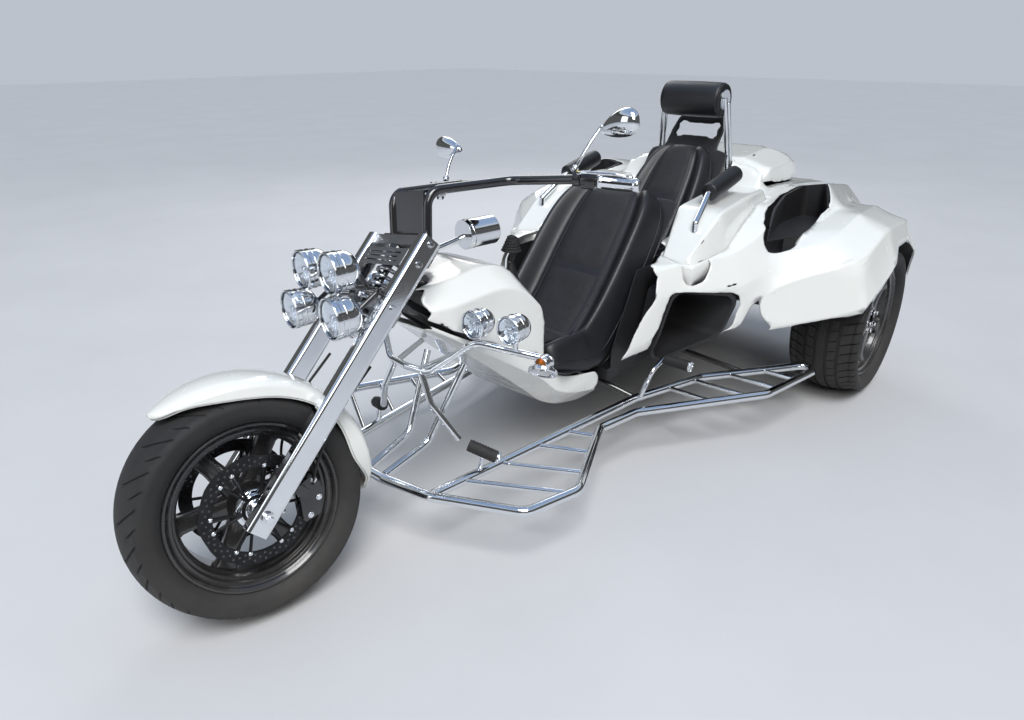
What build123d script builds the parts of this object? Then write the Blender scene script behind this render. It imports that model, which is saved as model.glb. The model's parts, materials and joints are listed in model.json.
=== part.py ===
from build123d import *
import os
from math import cos, pi, radians, sin, sqrt

os.makedirs("parts", exist_ok=True)

# Frame: X forward, Y left, Z up, origin on the ground under the middle of the trike.
# Sizes are millimetres. Body places are (ahead of the rear axle, left, up).

# Running clearances
GAP = 0.3
RUNNING = 0.05
CLEAR = 6.0

# Steering head and fork
HEAD_AHEAD = 1938.0
HEAD_UP = 755.0
RAKE = 45.5
STEER_REST = -14.0
FORK_OFFSET = 80.0
STEM_R = 20.0
HEAD_WALL = 12.0
HEAD_TOP = 106.0
HEAD_FOOT = -55.0
LEG_APART = 290.0
LEG_WIDE = 44.0
LEG_DEEP = 64.0
LEG_TOP = 146.0
LEG_TIP = 48.0
CLAMP_THICK = 32.0
CLAMP_BOSS = 3.0

# Front wheel
FRONT_TYRE_R = 316.0
FRONT_TYRE_W = 200.0
FRONT_CROWN_R = 110.0
FRONT_BEAD_R = 216.0
FRONT_AXLE_R = 12.5
FRONT_SPOKES = 6
FRONT_HUB_R = 45.0
FRONT_HUB_LONG = 170.0
DISC_R = 150.0
DISC_BORE_R = 16.0
DISC_THICK = 6.0
DISC_HOLES = 12

# Rear wheels
REAR_TYRE_R = 330.0
REAR_TYRE_W = 285.0
REAR_BEAD_R = 228.0
REAR_OUTER_FACE = 895.0
REAR_SPOKES = 6
REAR_HUB_R = 60.0
REAR_HUB_LONG = 160.0
REAR_DISH = 70.0
HUB_SHAFT_R = 30.0
BEAM_R = 42.0

# Wheel rims
FLANGE = 14.0
FLANGE_WALL = 7.0
BEAD_SHARE = 0.38
DROP = 24.0

# Body mouldings
BODY_WALL = 6.0
LINER_WALL = 4.0
TAIL_BACK = 480.0
WELL_FRONT_HALF = 290.0
WELL_REAR_HALF = 215.0

# Tubes
RAIL_R = 22.0
BRACE_R = 17.0
GUARD_R = 16.0
RUNG_R = 9.0
PEG_R = 19.0

# Worked out from the sizes above
TILT = radians(RAKE)
STEER = radians(STEER_REST)
AXLE_TIPS = -sin(STEER) * sin(TILT)
FRONT_AXLE_UP = (FRONT_TYRE_R - FRONT_CROWN_R) * sqrt(1 - AXLE_TIPS**2) + FRONT_CROWN_R
AXLE_DOWN = (HEAD_UP + FORK_OFFSET * cos(STEER) * sin(TILT) - FRONT_AXLE_UP) / cos(TILT)
FRONT_AXLE_AHEAD = HEAD_AHEAD + FORK_OFFSET * cos(STEER) * cos(TILT) + AXLE_DOWN * sin(TILT)
FRONT_REACH = FRONT_AXLE_AHEAD + FRONT_TYRE_R
REAR_AXLE_X = (TAIL_BACK - FRONT_REACH) / 2
REAR_CENTRE_Y = REAR_OUTER_FACE - REAR_TYRE_W / 2
LEG_Y = LEG_APART / 2
LEG_FRONT = FORK_OFFSET + LEG_DEEP / 2
LEG_INSIDE = LEG_Y - LEG_WIDE / 2
CLAMP_UPPER = HEAD_TOP + CLEAR + CLAMP_BOSS + CLAMP_THICK / 2
CLAMP_LOWER = HEAD_FOOT - CLEAR - CLAMP_BOSS - CLAMP_THICK / 2
BAR_SEAT = CLAMP_UPPER + CLAMP_THICK / 2 + CLAMP_BOSS + GAP


def at(ahead, left, up):
    return Vector(REAR_AXLE_X + ahead, left, up)


def mirrored(shape):
    return mirror(shape, about=Plane.XZ)


def both(shape):
    return [shape, mirrored(shape)]


def write(name, *shapes):
    solids = []
    for shape in shapes:
        for item in shape if isinstance(shape, (list, tuple)) else [shape]:
            solids.extend(item.solids())
    whole = solids[0] if len(solids) == 1 else Compound(solids)
    export_step(whole, f"parts/{name}.step")


def rod(start, end, radius):
    line = Vector(end) - Vector(start)
    plane = Plane(origin=Vector(start), z_dir=line)
    return extrude(plane * Circle(radius), line.length)


def ring(start, end, outer, inner):
    return rod(start, end, outer) - rod(start, end, inner)


def tube(points, bends, radius):
    """A round tube along straight runs joined by arcs."""
    path = FilletPolyline(*points, radius=bends)
    start = Plane(origin=path @ 0, z_dir=path % 0)
    return sweep(start * Circle(radius), path=path)


def plate(points, bends, plane, thick):
    """A flat plate with rounded corners, thickness centred on its plane."""
    if bends:
        outline = make_face(FilletPolyline(*points, radius=bends, close=True))
    else:
        outline = make_face(Polyline(*points, close=True))
    return extrude(plane * outline, thick / 2, both=True)


def block(low, high):
    """A box between two corners given as (ahead, left, up)."""
    sizes = [b - a for a, b in zip(low, high)]
    middle = [(a + b) / 2 for a, b in zip(low, high)]
    return Pos(*at(*middle)) * Box(*sizes)


def side_plate(points, bends, inner, outer):
    """A moulding with one side outline in (ahead, up), from inner to outer on the left."""
    middle = (inner + outer) / 2
    shape = plate(points, bends, Plane.XZ, outer - inner)
    return shape.moved(Pos(REAR_AXLE_X, middle, 0))


def top_plate(points, bends, low, high):
    """A moulding with one outline in (ahead, left), from low to high."""
    shape = plate(points, bends, Plane.XY, high - low)
    return shape.moved(Pos(REAR_AXLE_X, 0, (low + high) / 2))


def shifted(points, distance):
    """Moves an open chain of points to the right of its direction, its corners kept mitred."""
    moved = []
    for index, (x, z) in enumerate(points):
        normals = []
        if index > 0:
            dx, dz = x - points[index - 1][0], z - points[index - 1][1]
            normals.append((dz / sqrt(dx**2 + dz**2), -dx / sqrt(dx**2 + dz**2)))
        if index < len(points) - 1:
            dx, dz = points[index + 1][0] - x, points[index + 1][1] - z
            normals.append((dz / sqrt(dx**2 + dz**2), -dx / sqrt(dx**2 + dz**2)))
        nx = sum(normal[0] for normal in normals) / len(normals)
        nz = sum(normal[1] for normal in normals) / len(normals)
        square = nx**2 + nz**2
        moved.append((x + distance * nx / square, z + distance * nz / square))
    return moved


def strip(points, near, far):
    """The closed outline between two shifted copies of one chain."""
    return shifted(points, near) + list(reversed(shifted(points, far)))


def station(ahead, points, bends):
    """A closed section across the body at one distance ahead of the rear axle."""
    corners = [at(ahead, left, up) for left, up in points]
    return make_face(FilletPolyline(*corners, radius=bends, close=True))


def mirrored_points(half):
    """Closes a left half outline, listed from its foot to its top, with its mirror image."""
    return list(half) + [(-left, up) for left, up in reversed(half)]


# Wheels, each made about its own axle along Y at the origin
def tyre_form(radius, width, bead_r):
    foot = BEAD_SHARE * width
    half = width / 2
    top = bead_r + FLANGE
    side = bead_r + 0.55 * (radius - bead_r)
    shoulder = radius - 0.085 * width
    step = 0.39 * width
    with BuildSketch(Plane.YZ) as section:
        with BuildLine():
            Line((-foot, bead_r), (foot, bead_r))
            for sign in (1, -1):
                lower = (sign * (half - 0.02 * width), (top + side) / 2)
                upper = (sign * (half - 0.025 * width), (side + shoulder) / 2 + 0.03 * width)
                Line((sign * foot, bead_r), (sign * foot, top))
                ThreePointArc((sign * foot, top), lower, (sign * half, side))
                ThreePointArc((sign * half, side), upper, (sign * step, shoulder))
            ThreePointArc((step, shoulder), (0, radius), (-step, shoulder))
        make_face()
    return revolve(section.sketch, Axis.Y)


RIM_WALL = 7.0
SPOKE_ROOT = 32.0
SPOKE_TIP = 19.0
SPOKE_THICK = 30.0


def rim_form(bead_r, width, spokes, hub_r, hub_long, dish, bore_r):
    seat = bead_r - GAP
    inner = BEAD_SHARE * width + GAP
    half = inner + FLANGE_WALL
    lip = bead_r + FLANGE - GAP
    well = seat - DROP
    shelf = 0.3 * half
    slope = 0.48 * half
    outline = [
        (-half, lip), (-inner, lip), (-inner, seat), (shelf - half, seat), (slope - half, well),
        (half - slope, well), (half - shelf, seat), (inner, seat), (inner, lip), (half, lip),
        (half, seat - RIM_WALL), (half - shelf + 2, seat - RIM_WALL),
        (half - slope + 2, well - RIM_WALL), (slope - half - 2, well - RIM_WALL),
        (shelf - half - 2, seat - RIM_WALL), (-half, seat - RIM_WALL),
    ]
    barrel = revolve(Plane.YZ * make_face(Polyline(*outline, close=True)), Axis.Y)
    rim = barrel + rod((0, -hub_long / 2, 0), (0, hub_long / 2, 0), hub_r)
    root = hub_r - 8
    reach = well - RIM_WALL / 2
    corners = [(root, -SPOKE_ROOT), (reach, -SPOKE_TIP), (reach, SPOKE_TIP), (root, SPOKE_ROOT)]
    blade = plate(corners, 0, Plane.XZ, SPOKE_THICK).moved(Pos(0, dish, 0))
    for index in range(spokes):
        rim += blade.rotate(Axis.Y, 360 * index / spokes)
    return rim - rod((0, -hub_long, 0), (0, hub_long, 0), bore_r)


def disc_form():
    disc = ring((0, -DISC_THICK / 2, 0), (0, DISC_THICK / 2, 0), DISC_R, DISC_BORE_R)
    place = 0.8 * DISC_R
    for index in range(DISC_HOLES):
        turn = 2 * pi * index / DISC_HOLES
        spot = (place * cos(turn), -DISC_THICK, place * sin(turn))
        disc -= rod(spot, (spot[0], DISC_THICK, spot[2]), 0.06 * DISC_R)
    return disc


DISC_Y = FRONT_HUB_LONG / 2 + GAP + DISC_THICK / 2


def front_discs():
    disc = Pos(0, DISC_Y, 0) * disc_form()
    return both(disc)


# Calliper outline in (ahead of the axle, up), in the fork's own directions
CALIPER = [(-130, 20), (-158, 62), (-128, 120), (-78, 148), (-56, 96), (-92, 60)]
CALIPER_HALF = 24.0


def calipers():
    body = plate(CALIPER, 8, Plane.XZ, 2 * CALIPER_HALF)
    body = body.moved(Pos(0, DISC_Y, 0))
    slot_half = DISC_THICK / 2 + CLEAR
    body -= rod((0, DISC_Y - slot_half, 0), (0, DISC_Y + slot_half, 0), DISC_R + CLEAR)
    leg_back = -LEG_DEEP / 2 - GAP
    near, far = DISC_Y + CALIPER_HALF - 6, LEG_Y + 6
    lug = Pos((leg_back - 78) / 2, (near + far) / 2, 94) * Box(leg_back + 78, far - near, 26)
    return both(body + lug)


# Steering parts are made about the steering axis as Z, with the head's middle at the origin
# and the legs ahead of it, then laid back by the rake and turned to where the bar rests.
STEERED = Pos(*at(HEAD_AHEAD, 0, HEAD_UP)) * Rot(0, -RAKE, 0) * Rot(0, 0, STEER_REST)
LEVEL = Rot(0, RAKE, 0)
WHEEL_PLACE = Pos(FORK_OFFSET, 0, -AXLE_DOWN)
FRONT_PLANE = Plane(origin=(0, 0, 0), x_dir=(0, 1, 0), z_dir=(1, 0, 0))
AXLE_COLLAR_R = 22.0
AXLE_NUT_R = 18.0


def fork_legs():
    half_deep = LEG_DEEP / 2
    half_wide = LEG_WIDE / 2
    outline = [
        (-half_deep, -half_wide), (half_deep, -half_wide),
        (half_deep, half_wide), (-half_deep, half_wide),
    ]
    face = make_face(FilletPolyline(*outline, radius=12, close=True))
    foot = -AXLE_DOWN - LEG_TIP
    leg = extrude(Pos(FORK_OFFSET, LEG_Y, foot) * face, LEG_TOP - foot)
    far = LEG_Y + LEG_WIDE / 2 + 10
    collar_from = DISC_Y + DISC_THICK / 2 + CLEAR
    sides = leg + rod(
        (FORK_OFFSET, collar_from, -AXLE_DOWN), (FORK_OFFSET, LEG_Y, -AXLE_DOWN), AXLE_COLLAR_R)
    sides += rod((FORK_OFFSET, LEG_Y, -AXLE_DOWN), (FORK_OFFSET, far, -AXLE_DOWN), AXLE_NUT_R)
    axle = rod((FORK_OFFSET, -far, -AXLE_DOWN), (FORK_OFFSET, far, -AXLE_DOWN), FRONT_AXLE_R)
    return sides + mirrored(sides) + axle


def clamp(up, notched):
    """One fork clamp: a cast yoke between the legs with a boss round the stem."""
    inner = LEG_INSIDE - GAP
    front = FORK_OFFSET + 20
    corners = [(-28, -26), (-28, 26), (24, inner), (front, inner), (front, -inner), (24, -inner)]
    yoke = plate(corners, 8, Plane.XY, CLAMP_THICK)
    half = CLAMP_THICK / 2 + CLAMP_BOSS
    whole = yoke + rod((0, 0, -half), (0, 0, half), STEM_R + HEAD_WALL)
    if notched:
        side = SPRING_R + 8
        start = SPRING_X - side
        mouth = [(start, -side), (start, side), (front + 30, side), (front + 30, -side)]
        whole -= plate(mouth, 8, Plane.XY, CLAMP_THICK * 2)
    return whole.moved(Pos(0, 0, up))


def fork_clamps():
    stem = rod((0, 0, CLAMP_LOWER), (0, 0, CLAMP_UPPER), STEM_R)
    return clamp(CLAMP_UPPER, False) + clamp(CLAMP_LOWER, True) + stem


PLATE_LOW = 40.0
PLATE_HIGH = 96.0
PLATE_SLOTS = 3


def cross_plate():
    half = LEG_INSIDE - GAP
    place = LEG_FRONT - 6.2
    corners = [(-half, PLATE_LOW), (half, PLATE_LOW), (half, PLATE_HIGH), (-half, PLATE_HIGH)]
    panel = plate(corners, 4, FRONT_PLANE.offset(place), 5)
    for index in range(PLATE_SLOTS):
        middle = PLATE_LOW + (PLATE_HIGH - PLATE_LOW) * (index + 1) / (PLATE_SLOTS + 1)
        panel -= Pos(place, 0, middle) * Box(20, 1.5 * half, 6)
    return panel


SPRING_X = 72.0
SPRING_R = 30.0
SPRING_WIRE = 6.0
SPRING_TURNS = 9
SPRING_LONG = 300.0
SPRING_SEAT = 12.0
SPRING_FOOT = 26.0


def fork_spring():
    top = CLAMP_UPPER - CLAMP_THICK / 2 - GAP
    foot = top - SPRING_LONG
    core = SPRING_R - SPRING_WIRE
    low_seat = foot + SPRING_FOOT
    coil = rod((SPRING_X, 0, foot), (SPRING_X, 0, top), core - 8)
    coil += rod((SPRING_X, 0, top - SPRING_SEAT), (SPRING_X, 0, top), SPRING_R + 2)
    coil += rod((SPRING_X, 0, low_seat), (SPRING_X, 0, low_seat + SPRING_SEAT), SPRING_R + 2)
    run = SPRING_LONG - SPRING_FOOT - 2 * SPRING_SEAT
    pitch = run / SPRING_TURNS
    for index in range(SPRING_TURNS):
        middle = low_seat + SPRING_SEAT + pitch * (index + 0.5)
        coil += Pos(SPRING_X, 0, middle) * Torus(core, SPRING_WIRE)
        coil += rod((SPRING_X, 0, middle - 2), (SPRING_X, 0, middle + 2), core)
    half = LEG_INSIDE - GAP
    place = foot + SPRING_FOOT / 2
    return coil + rod((SPRING_X, -half, place), (SPRING_X, half, place), 12)


# Lamp cans on the fork: (ahead of the axis, left, up the axis) of each mouth's middle
LAMP_R = 58.0
LAMP_LONG = 80.0
LAMP_RIM = 5.0
LENS_DEEP = 16.0
FORK_LAMPS = [(255, 88, -90), (204, 134, -196)]
BRACKET_BAR = (128, -58)


def lamp_can(radius, length):
    """A round lamp body about X, its mouth at the origin facing +X."""
    bore = radius - LAMP_RIM
    with BuildSketch(Plane.XZ) as section:
        with BuildLine():
            Polyline(
                (-length, radius * 0.5), (-length, 0), (-LENS_DEEP, 0), (-LENS_DEEP, bore),
                (0, bore), (0, radius), (-12, radius), (-14, radius - 2),
                (-length / 2, radius - 3),
            )
            ThreePointArc(
                (-length / 2, radius - 3), (-length * 0.84, radius * 0.8), (-length, radius * 0.5)
            )
        make_face()
    return revolve(section.sketch, Axis.X)


def lamp_lens(radius):
    edge = radius - LAMP_RIM - GAP
    back = GAP - LENS_DEEP
    outline = [(4, 0), (back, 0), (back, edge), (-2, edge), (1, 0.72 * edge), (3, 0.4 * edge)]
    return revolve(Plane.XZ * make_face(Polyline(*outline, close=True)), Axis.X)


def fork_lamp_places():
    places = []
    for ahead, left, up in FORK_LAMPS:
        for side in (1, -1):
            places.append(Pos(ahead, side * left, up) * LEVEL)
    return places


def lamp_bracket():
    """A cross tube ahead of the legs, lugs to the legs and an arm to the back of each lamp."""
    bar_x, bar_z = BRACKET_BAR
    bracket = rod((bar_x, -LEG_Y, bar_z), (bar_x, LEG_Y, bar_z), 9)
    for side in (1, -1):
        lug_y = side * (LEG_Y - 4)
        bracket += rod((LEG_FRONT + GAP, lug_y, bar_z), (bar_x, lug_y, bar_z), 8)
        for ahead, left, up in FORK_LAMPS:
            reach = LAMP_LONG - 4
            back = (ahead - reach * cos(TILT), side * left, up + reach * sin(TILT))
            bracket += rod((bar_x, side * left, bar_z), back, 7)
    for place in fork_lamp_places():
        can = Cylinder(LAMP_R + GAP, LAMP_LONG + GAP).moved(Pos(0, 0, -(LAMP_LONG + GAP) / 2))
        bracket -= place * Rot(0, 90, 0) * can
    return max(bracket.solids(), key=lambda solid: solid.volume)


FENDER_GAP = 33.0
FENDER_WALL = 4.0
FENDER_HALF = 98.0
FENDER_SKIRT = 53.0
FENDER_FROM = 17.6
FENDER_TO = 148.0
FENDER_SHIFT = 54.0
FENDER_PAD_R = 325.0


def front_fender():
    """An arched band over the tyre, its skirts cut by a larger circle so that both ends taper."""
    inner = FRONT_TYRE_R + FENDER_GAP
    outer = inner + FENDER_WALL
    foot = inner - FENDER_SKIRT - 12
    spring = inner - 0.5 * FENDER_SKIRT
    half = FENDER_HALF
    wide = half + FENDER_WALL
    with BuildSketch(Plane.YZ) as section:
        with BuildLine():
            Line((half, foot), (half, spring))
            ThreePointArc((half, spring), (0, inner), (-half, spring))
            Polyline((-half, spring), (-half, foot), (-wide, foot), (-wide, spring))
            ThreePointArc((-wide, spring), (0, outer), (wide, spring))
            Polyline((wide, spring), (wide, foot), (half, foot))
        make_face()
    band = revolve(section.sketch, Axis.Y, revolution_arc=FENDER_TO - FENDER_FROM)
    band = band.rotate(Axis.Y, 90 - FENDER_TO)
    middle = radians((FENDER_FROM + FENDER_TO) / 2)
    cut_x = -FENDER_SHIFT * cos(middle)
    cut_z = -FENDER_SHIFT * sin(middle)
    cut_r = inner - FENDER_SKIRT + FENDER_SHIFT
    band -= rod((cut_x, -FRONT_TYRE_W, cut_z), (cut_x, FRONT_TYRE_W, cut_z), cut_r)
    pad = rod((0, half + 1, FENDER_PAD_R), (0, LEG_INSIDE - GAP, FENDER_PAD_R), 12)
    return band + pad + mirrored(pad)


# Handlebar: (ahead of the axis, left, up the axis), left half
BAR_R = 14.0
BAR_PATH = [(60, 94, 162), (140, 98, 270), (-64, 128, 468), (-112, 350, 498), (-203, 505, 540)]
BAR_BENDS = [50, 60, 60]
GRIP_R = 20.0
GRIP_LONG = 118.0
PANEL_HALF = 82.0
PANEL_THICK = 6.0


def bar_end():
    knee = Vector(*BAR_PATH[3])
    tip = Vector(*BAR_PATH[4])
    return knee, tip, (tip - knee).normalized()


def handlebar():
    knee, tip, along = bar_end()
    side = tube(BAR_PATH[:4], BAR_BENDS[:2], BAR_R)
    side += Pos(*knee) * Sphere(BAR_R) + rod(knee, tip, BAR_R)
    foot = BAR_PATH[0]
    low = CLAMP_UPPER + CLAMP_THICK / 2 + GAP
    rise = foot[2] - low
    pad = Pos(foot[0], 0, low + rise / 2) * Box(48, 2 * LEG_INSIDE - 4, rise)
    chain = [(place[0], place[2]) for place in BAR_PATH[:3]]
    panel = plate(strip(chain, -PANEL_THICK / 2, PANEL_THICK / 2), 0, Plane.XZ, 2 * PANEL_HALF)
    cross = rod((BAR_PATH[2][0], -128, BAR_PATH[2][2]), (BAR_PATH[2][0], 128, BAR_PATH[2][2]), 9)
    return side + mirrored(side) + pad + panel + cross


def grips():
    knee, tip, along = bar_end()
    start = tip - along * GRIP_LONG
    sleeve = ring(start, tip, GRIP_R, BAR_R + GAP)
    cap = rod(tip + along * GAP, tip + along * 10, GRIP_R)
    return both(sleeve) + both(cap)


MIRROR_STEM_R = 6.0
MIRROR_FOOT_Y = 330.0
MIRROR_KNEE = (-92, 352, 590)
MIRROR_HEAD = (-98, 425, 680)
MIRROR_DEEP = 42.0
MIRROR_OUTLINE = [(-70, -16), (-30, -44), (60, -40), (76, 4), (52, 40), (-30, 30)]
MIRROR_BACK = 3.0


def mirror_place():
    return Pos(*MIRROR_HEAD) * LEVEL


def mirror_shell():
    """Stem and rounded housing of the left mirror; the housing's open side faces back."""
    share = (MIRROR_FOOT_Y - BAR_PATH[2][1]) / (BAR_PATH[3][1] - BAR_PATH[2][1])
    foot_x = BAR_PATH[2][0] + share * (BAR_PATH[3][0] - BAR_PATH[2][0])
    foot_z = BAR_PATH[2][2] + share * (BAR_PATH[3][2] - BAR_PATH[2][2]) + BAR_R + 2.8
    stem = tube([(foot_x, MIRROR_FOOT_Y, foot_z), MIRROR_KNEE, MIRROR_HEAD], 30, MIRROR_STEM_R)
    stem -= mirror_place() * Pos(-50 + MIRROR_BACK, 0, 0) * Box(100, 300, 300)
    sections = []
    for deep, share in ((MIRROR_BACK, 1.0), (MIRROR_DEEP * 0.6, 0.82), (MIRROR_DEEP, 0.42)):
        points = [(share * a, share * b) for a, b in MIRROR_OUTLINE]
        outline = make_face(FilletPolyline(*points, radius=18 * share, close=True))
        sections.append(FRONT_PLANE.offset(deep) * outline)
    shell = mirror_place() * loft(sections)
    return both(shell + stem)


def mirror_glass():
    points = [(0.92 * a, 0.92 * b) for a, b in MIRROR_OUTLINE]
    pane = plate(points, 15, FRONT_PLANE, 4)
    return both(mirror_place() * Pos(MIRROR_BACK - 2 - GAP, 0, 0) * pane)


INSTRUMENT_R = 46.0
INSTRUMENT_LONG = 112.0
INSTRUMENT_MIDDLE = (-128, 0, 322)


def instrument():
    """A round clock can lying along the trike, on a stalk from the upper fork clamp."""
    can = LEVEL * Rot(0, 90, 0) * Cylinder(INSTRUMENT_R, INSTRUMENT_LONG)
    can = Pos(*INSTRUMENT_MIDDLE) * can
    stalk = rod((-10, 0, BAR_SEAT + 5.2), (-104, 0, 292), 9)
    return can + stalk


# Chassis frame, left half of each path: (ahead, left, up)
LOWER_RAIL = [(1700, 108, 545), (1420, 150, 335), (1210, 180, 262), (-430, 180, 262)]
LOWER_BENDS = [90, 150, 200]
UPPER_BRACE = [(1640, 85, 670), (1540, 130, 425)]
CROSS_MEMBERS = [1230, 700, 120, -410]
COWL_REST = (1640, 187, 640)
BELLY_REST = (1240, 256.7, 296)
REST_R = 8.0
FOOT_R = 12.0
SEAT_STAY = (1260, 172)
WELL_RESTS = [880, 1120]
WELL_FOOT = 300.0
TUB_POST = 64.0
TUB_FOOT = 650.0


def until(start, end, stop):
    """The point a given distance before the end of a line."""
    line = Vector(*end) - Vector(*start)
    return Vector(*end) - line.normalized() * stop


def guard_tubes(side, radius):
    """The outer and inner long tubes of one side guard."""
    outer = tube([at(a, side * b, GUARD_UP) for a, b in GUARD_OUTER], GUARD_BENDS, radius)
    inner = tube([at(a, side * b, GUARD_UP) for a, b in GUARD_INNER], GUARD_INNER_BENDS, radius)
    return outer, inner


def frame_tubes():
    axis_up = Vector(-sin(TILT), 0, cos(TILT))
    centre = at(HEAD_AHEAD, 0, HEAD_UP)
    foot = centre + axis_up * HEAD_FOOT
    top = centre + axis_up * HEAD_TOP
    body = rod(foot, top, STEM_R + HEAD_WALL)
    for side in (1, -1):
        start = centre - axis_up * 15 + Vector(-10, side * 10, -10)
        lower = [start] + [at(a, side * b, c) for a, b, c in LOWER_RAIL]
        body += tube(lower, LOWER_BENDS, RAIL_R)
        start = centre + axis_up * 50 + Vector(-10, side * 8, -10)
        upper = [start] + [at(a, side * b, c) for a, b, c in UPPER_BRACE]
        body += tube(upper, 60, BRACE_R)
        guards = guard_tubes(side, GUARD_R + GAP)
        for ahead, left, up in GUARD_FEET:
            rail = at(ahead + 60, side * LOWER_RAIL[-1][1], LOWER_RAIL[-1][2])
            foot_rod = rod(rail, at(ahead, side * left, up), FOOT_R) - guards[0] - guards[1]
            body += foot_rod.solids().sort_by_distance(rail)[0]
    rail_y = LOWER_RAIL[-1][1]
    rail_z = LOWER_RAIL[-1][2]
    for ahead in CROSS_MEMBERS:
        body += rod(at(ahead, -rail_y, rail_z), at(ahead, rail_y, rail_z), BRACE_R)
    for ahead, left, up in (COWL_REST, BELLY_REST):
        body += rod(at(ahead, -left, up), at(ahead, left, up), REST_R)
    ahead, left = SEAT_STAY
    under_seat = side_plate(strip(DRIVER_BACKING, 100, -2 * GAP - SEAT_SHELL), 0, -400, 400)
    stay = rod(at(ahead, left, rail_z + 10), at(ahead, left, 420), 14) - under_seat
    stay = stay.solids().sort_by(Axis.Z)[0]
    body += stay
    body += mirrored(stay)
    for side in (1, -1):
        low, high = at(TUB_POST, side * rail_y, rail_z + 10), at(TUB_POST, side * rail_y, TUB_FOOT - GAP)
        body += rod(low, high, 12)
    for ahead in WELL_RESTS:
        for side in (1, -1):
            low, high = at(ahead, side * rail_y, rail_z + 10), at(ahead, side * rail_y, WELL_FOOT - GAP)
            body += rod(low, high, 14)
    bore = rod(foot - axis_up * 20, top + axis_up * 20, STEM_R + RUNNING)
    return body - bore


# Front fairing: (ahead, half width, keel, seam, top)
FAIRING = [
    (1930, 113, 663, 690, 779),
    (1855, 150, 612, 642, 787),
    (1760, 173, 532, 590, 803),
    (1680, 188, 465, 550, 813),
    (1590, 203, 390, 505, 792),
    (1492, 215, 305, 460, 690),
]
# Belly pan behind the cowl: (ahead, half width, keel, top)
BELLY = [(1446, 222, 262, 385), (1370, 245, 226, 362), (1228, 266, 200, 342)]
SEAM_GAP = 4.0


def cowl_solid(wall, drop):
    faces = []
    for ahead, half, keel, seam, top in FAIRING:
        side = half - wall
        points = [(side, seam - drop), (side, top - 60 - wall / 2), (side * 0.6, top - wall)]
        faces.append(station(ahead, mirrored_points(points), 18 - wall))
    return loft(faces, ruled=True)


def belly_solid(wall, raised):
    rows = [(ahead, half, keel, seam - SEAM_GAP) for ahead, half, keel, seam, top in FAIRING]
    faces = []
    for ahead, half, keel, top in rows + BELLY:
        bilge = keel + 0.5 * (top - keel)
        side = half - wall
        points = [(side * 0.7, keel + wall), (side, bilge + wall / 2), (side, top + raised)]
        faces.append(station(ahead, mirrored_points(points), 4))
    return loft(faces, ruled=True)


def front_fairing():
    cowl = cowl_solid(0, 0) - cowl_solid(BODY_WALL, 90)
    axis_up = Vector(-sin(TILT), 0, cos(TILT))
    centre = at(HEAD_AHEAD, 0, HEAD_UP)
    cowl -= rod(centre - axis_up * 200, centre + axis_up * 200, STEM_R + HEAD_WALL + 2 * CLEAR + 2)
    lever = at(*LEVER_FOOT)
    cowl -= rod(lever - Vector(0, 0, 200), lever + Vector(0, 0, 200), BOOT_R + 1)
    belly = belly_solid(0, 0) - belly_solid(BODY_WALL, 60)
    return [cowl, belly]


# Main shell, left half outline at each station: sill, low side, high side, shoulder, deck
HULL = [
    (1220, [(280, 270), (310, 400), (315, 600), (290, 690), (200, 700)]),
    (1000, [(350, 250), (400, 450), (400, 600), (360, 700), (220, 710)]),
    (700, [(520, 300), (565, 450), (565, 600), (500, 715), (400, 740)]),
    (400, [(600, 320), (640, 500), (640, 700), (570, 850), (420, 840)]),
    (50, [(620, 340), (660, 600), (660, 780), (580, 900), (400, 860)]),
    (-440, [(580, 420), (620, 600), (610, 730), (520, 820), (360, 832)]),
]
FENDER = [
    (660, [(480, 300), (550, 300), (600, 420), (580, 550), (530, 600), (480, 600)]),
    (520, [(480, 335), (710, 345), (750, 450), (700, 620), (600, 690), (480, 690)]),
    (380, [(480, 385), (865, 405), (910, 500), (865, 670), (745, 745), (480, 760)]),
    (100, [(480, 400), (920, 420), (925, 620), (865, 750), (745, 800), (480, 800)]),
    (-200, [(480, 420), (915, 440), (920, 620), (865, 740), (725, 785), (480, 790)]),
    (-400, [(480, 480), (860, 490), (870, 580), (830, 670), (700, 720), (480, 730)]),
]
# Cut in front of the main shell, (ahead, up)
HULL_FRONT = [(1232, 330), (1045, 702), (1045, 900), (1400, 900), (1400, 330)]
# Raised rear deck: (ahead, half width, edge height, crest height)
RAISED = [(205, 352, 838, 846), (150, 345, 930, 968), (-230, 338, 948, 998), (-285, 334, 896, 904)]
RAISED_BASE = 800.0
LID_SPLIT = 107.5
HINGE = (-298, 872)
HINGE_LEFT = 150.0
HINGE_R = 8.0
HINGE_PIN_R = 3.0
TRUNK_HOLE = [(-262, 95), 318]
ARCH_OUTLINE = [(418, 370), (205, 560), (25, 672), (-130, 672), (-245, 550), (-330, 400), (-330, 330),
                (418, 330)]
SIDE_OPENING = [(1055, 330), (790, 415), (735, 560), (975, 605)]
SCOOP = [(640, 580), (430, 520), (200, 470), (20, 480), (5, 560), (120, 620), (330, 630), (520, 615)]


def hull_solid(wall, drop):
    faces = []
    for ahead, half in HULL:
        sill = (half[0][0] - wall, half[0][1] - drop)
        rest = [(half[1][0] - wall, half[1][1])]
        rest += [(left - wall, up - wall) for left, up in half[2:]]
        faces.append(station(ahead, mirrored_points([sill] + rest), 18 - wall))
    return loft(faces, ruled=True)


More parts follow.
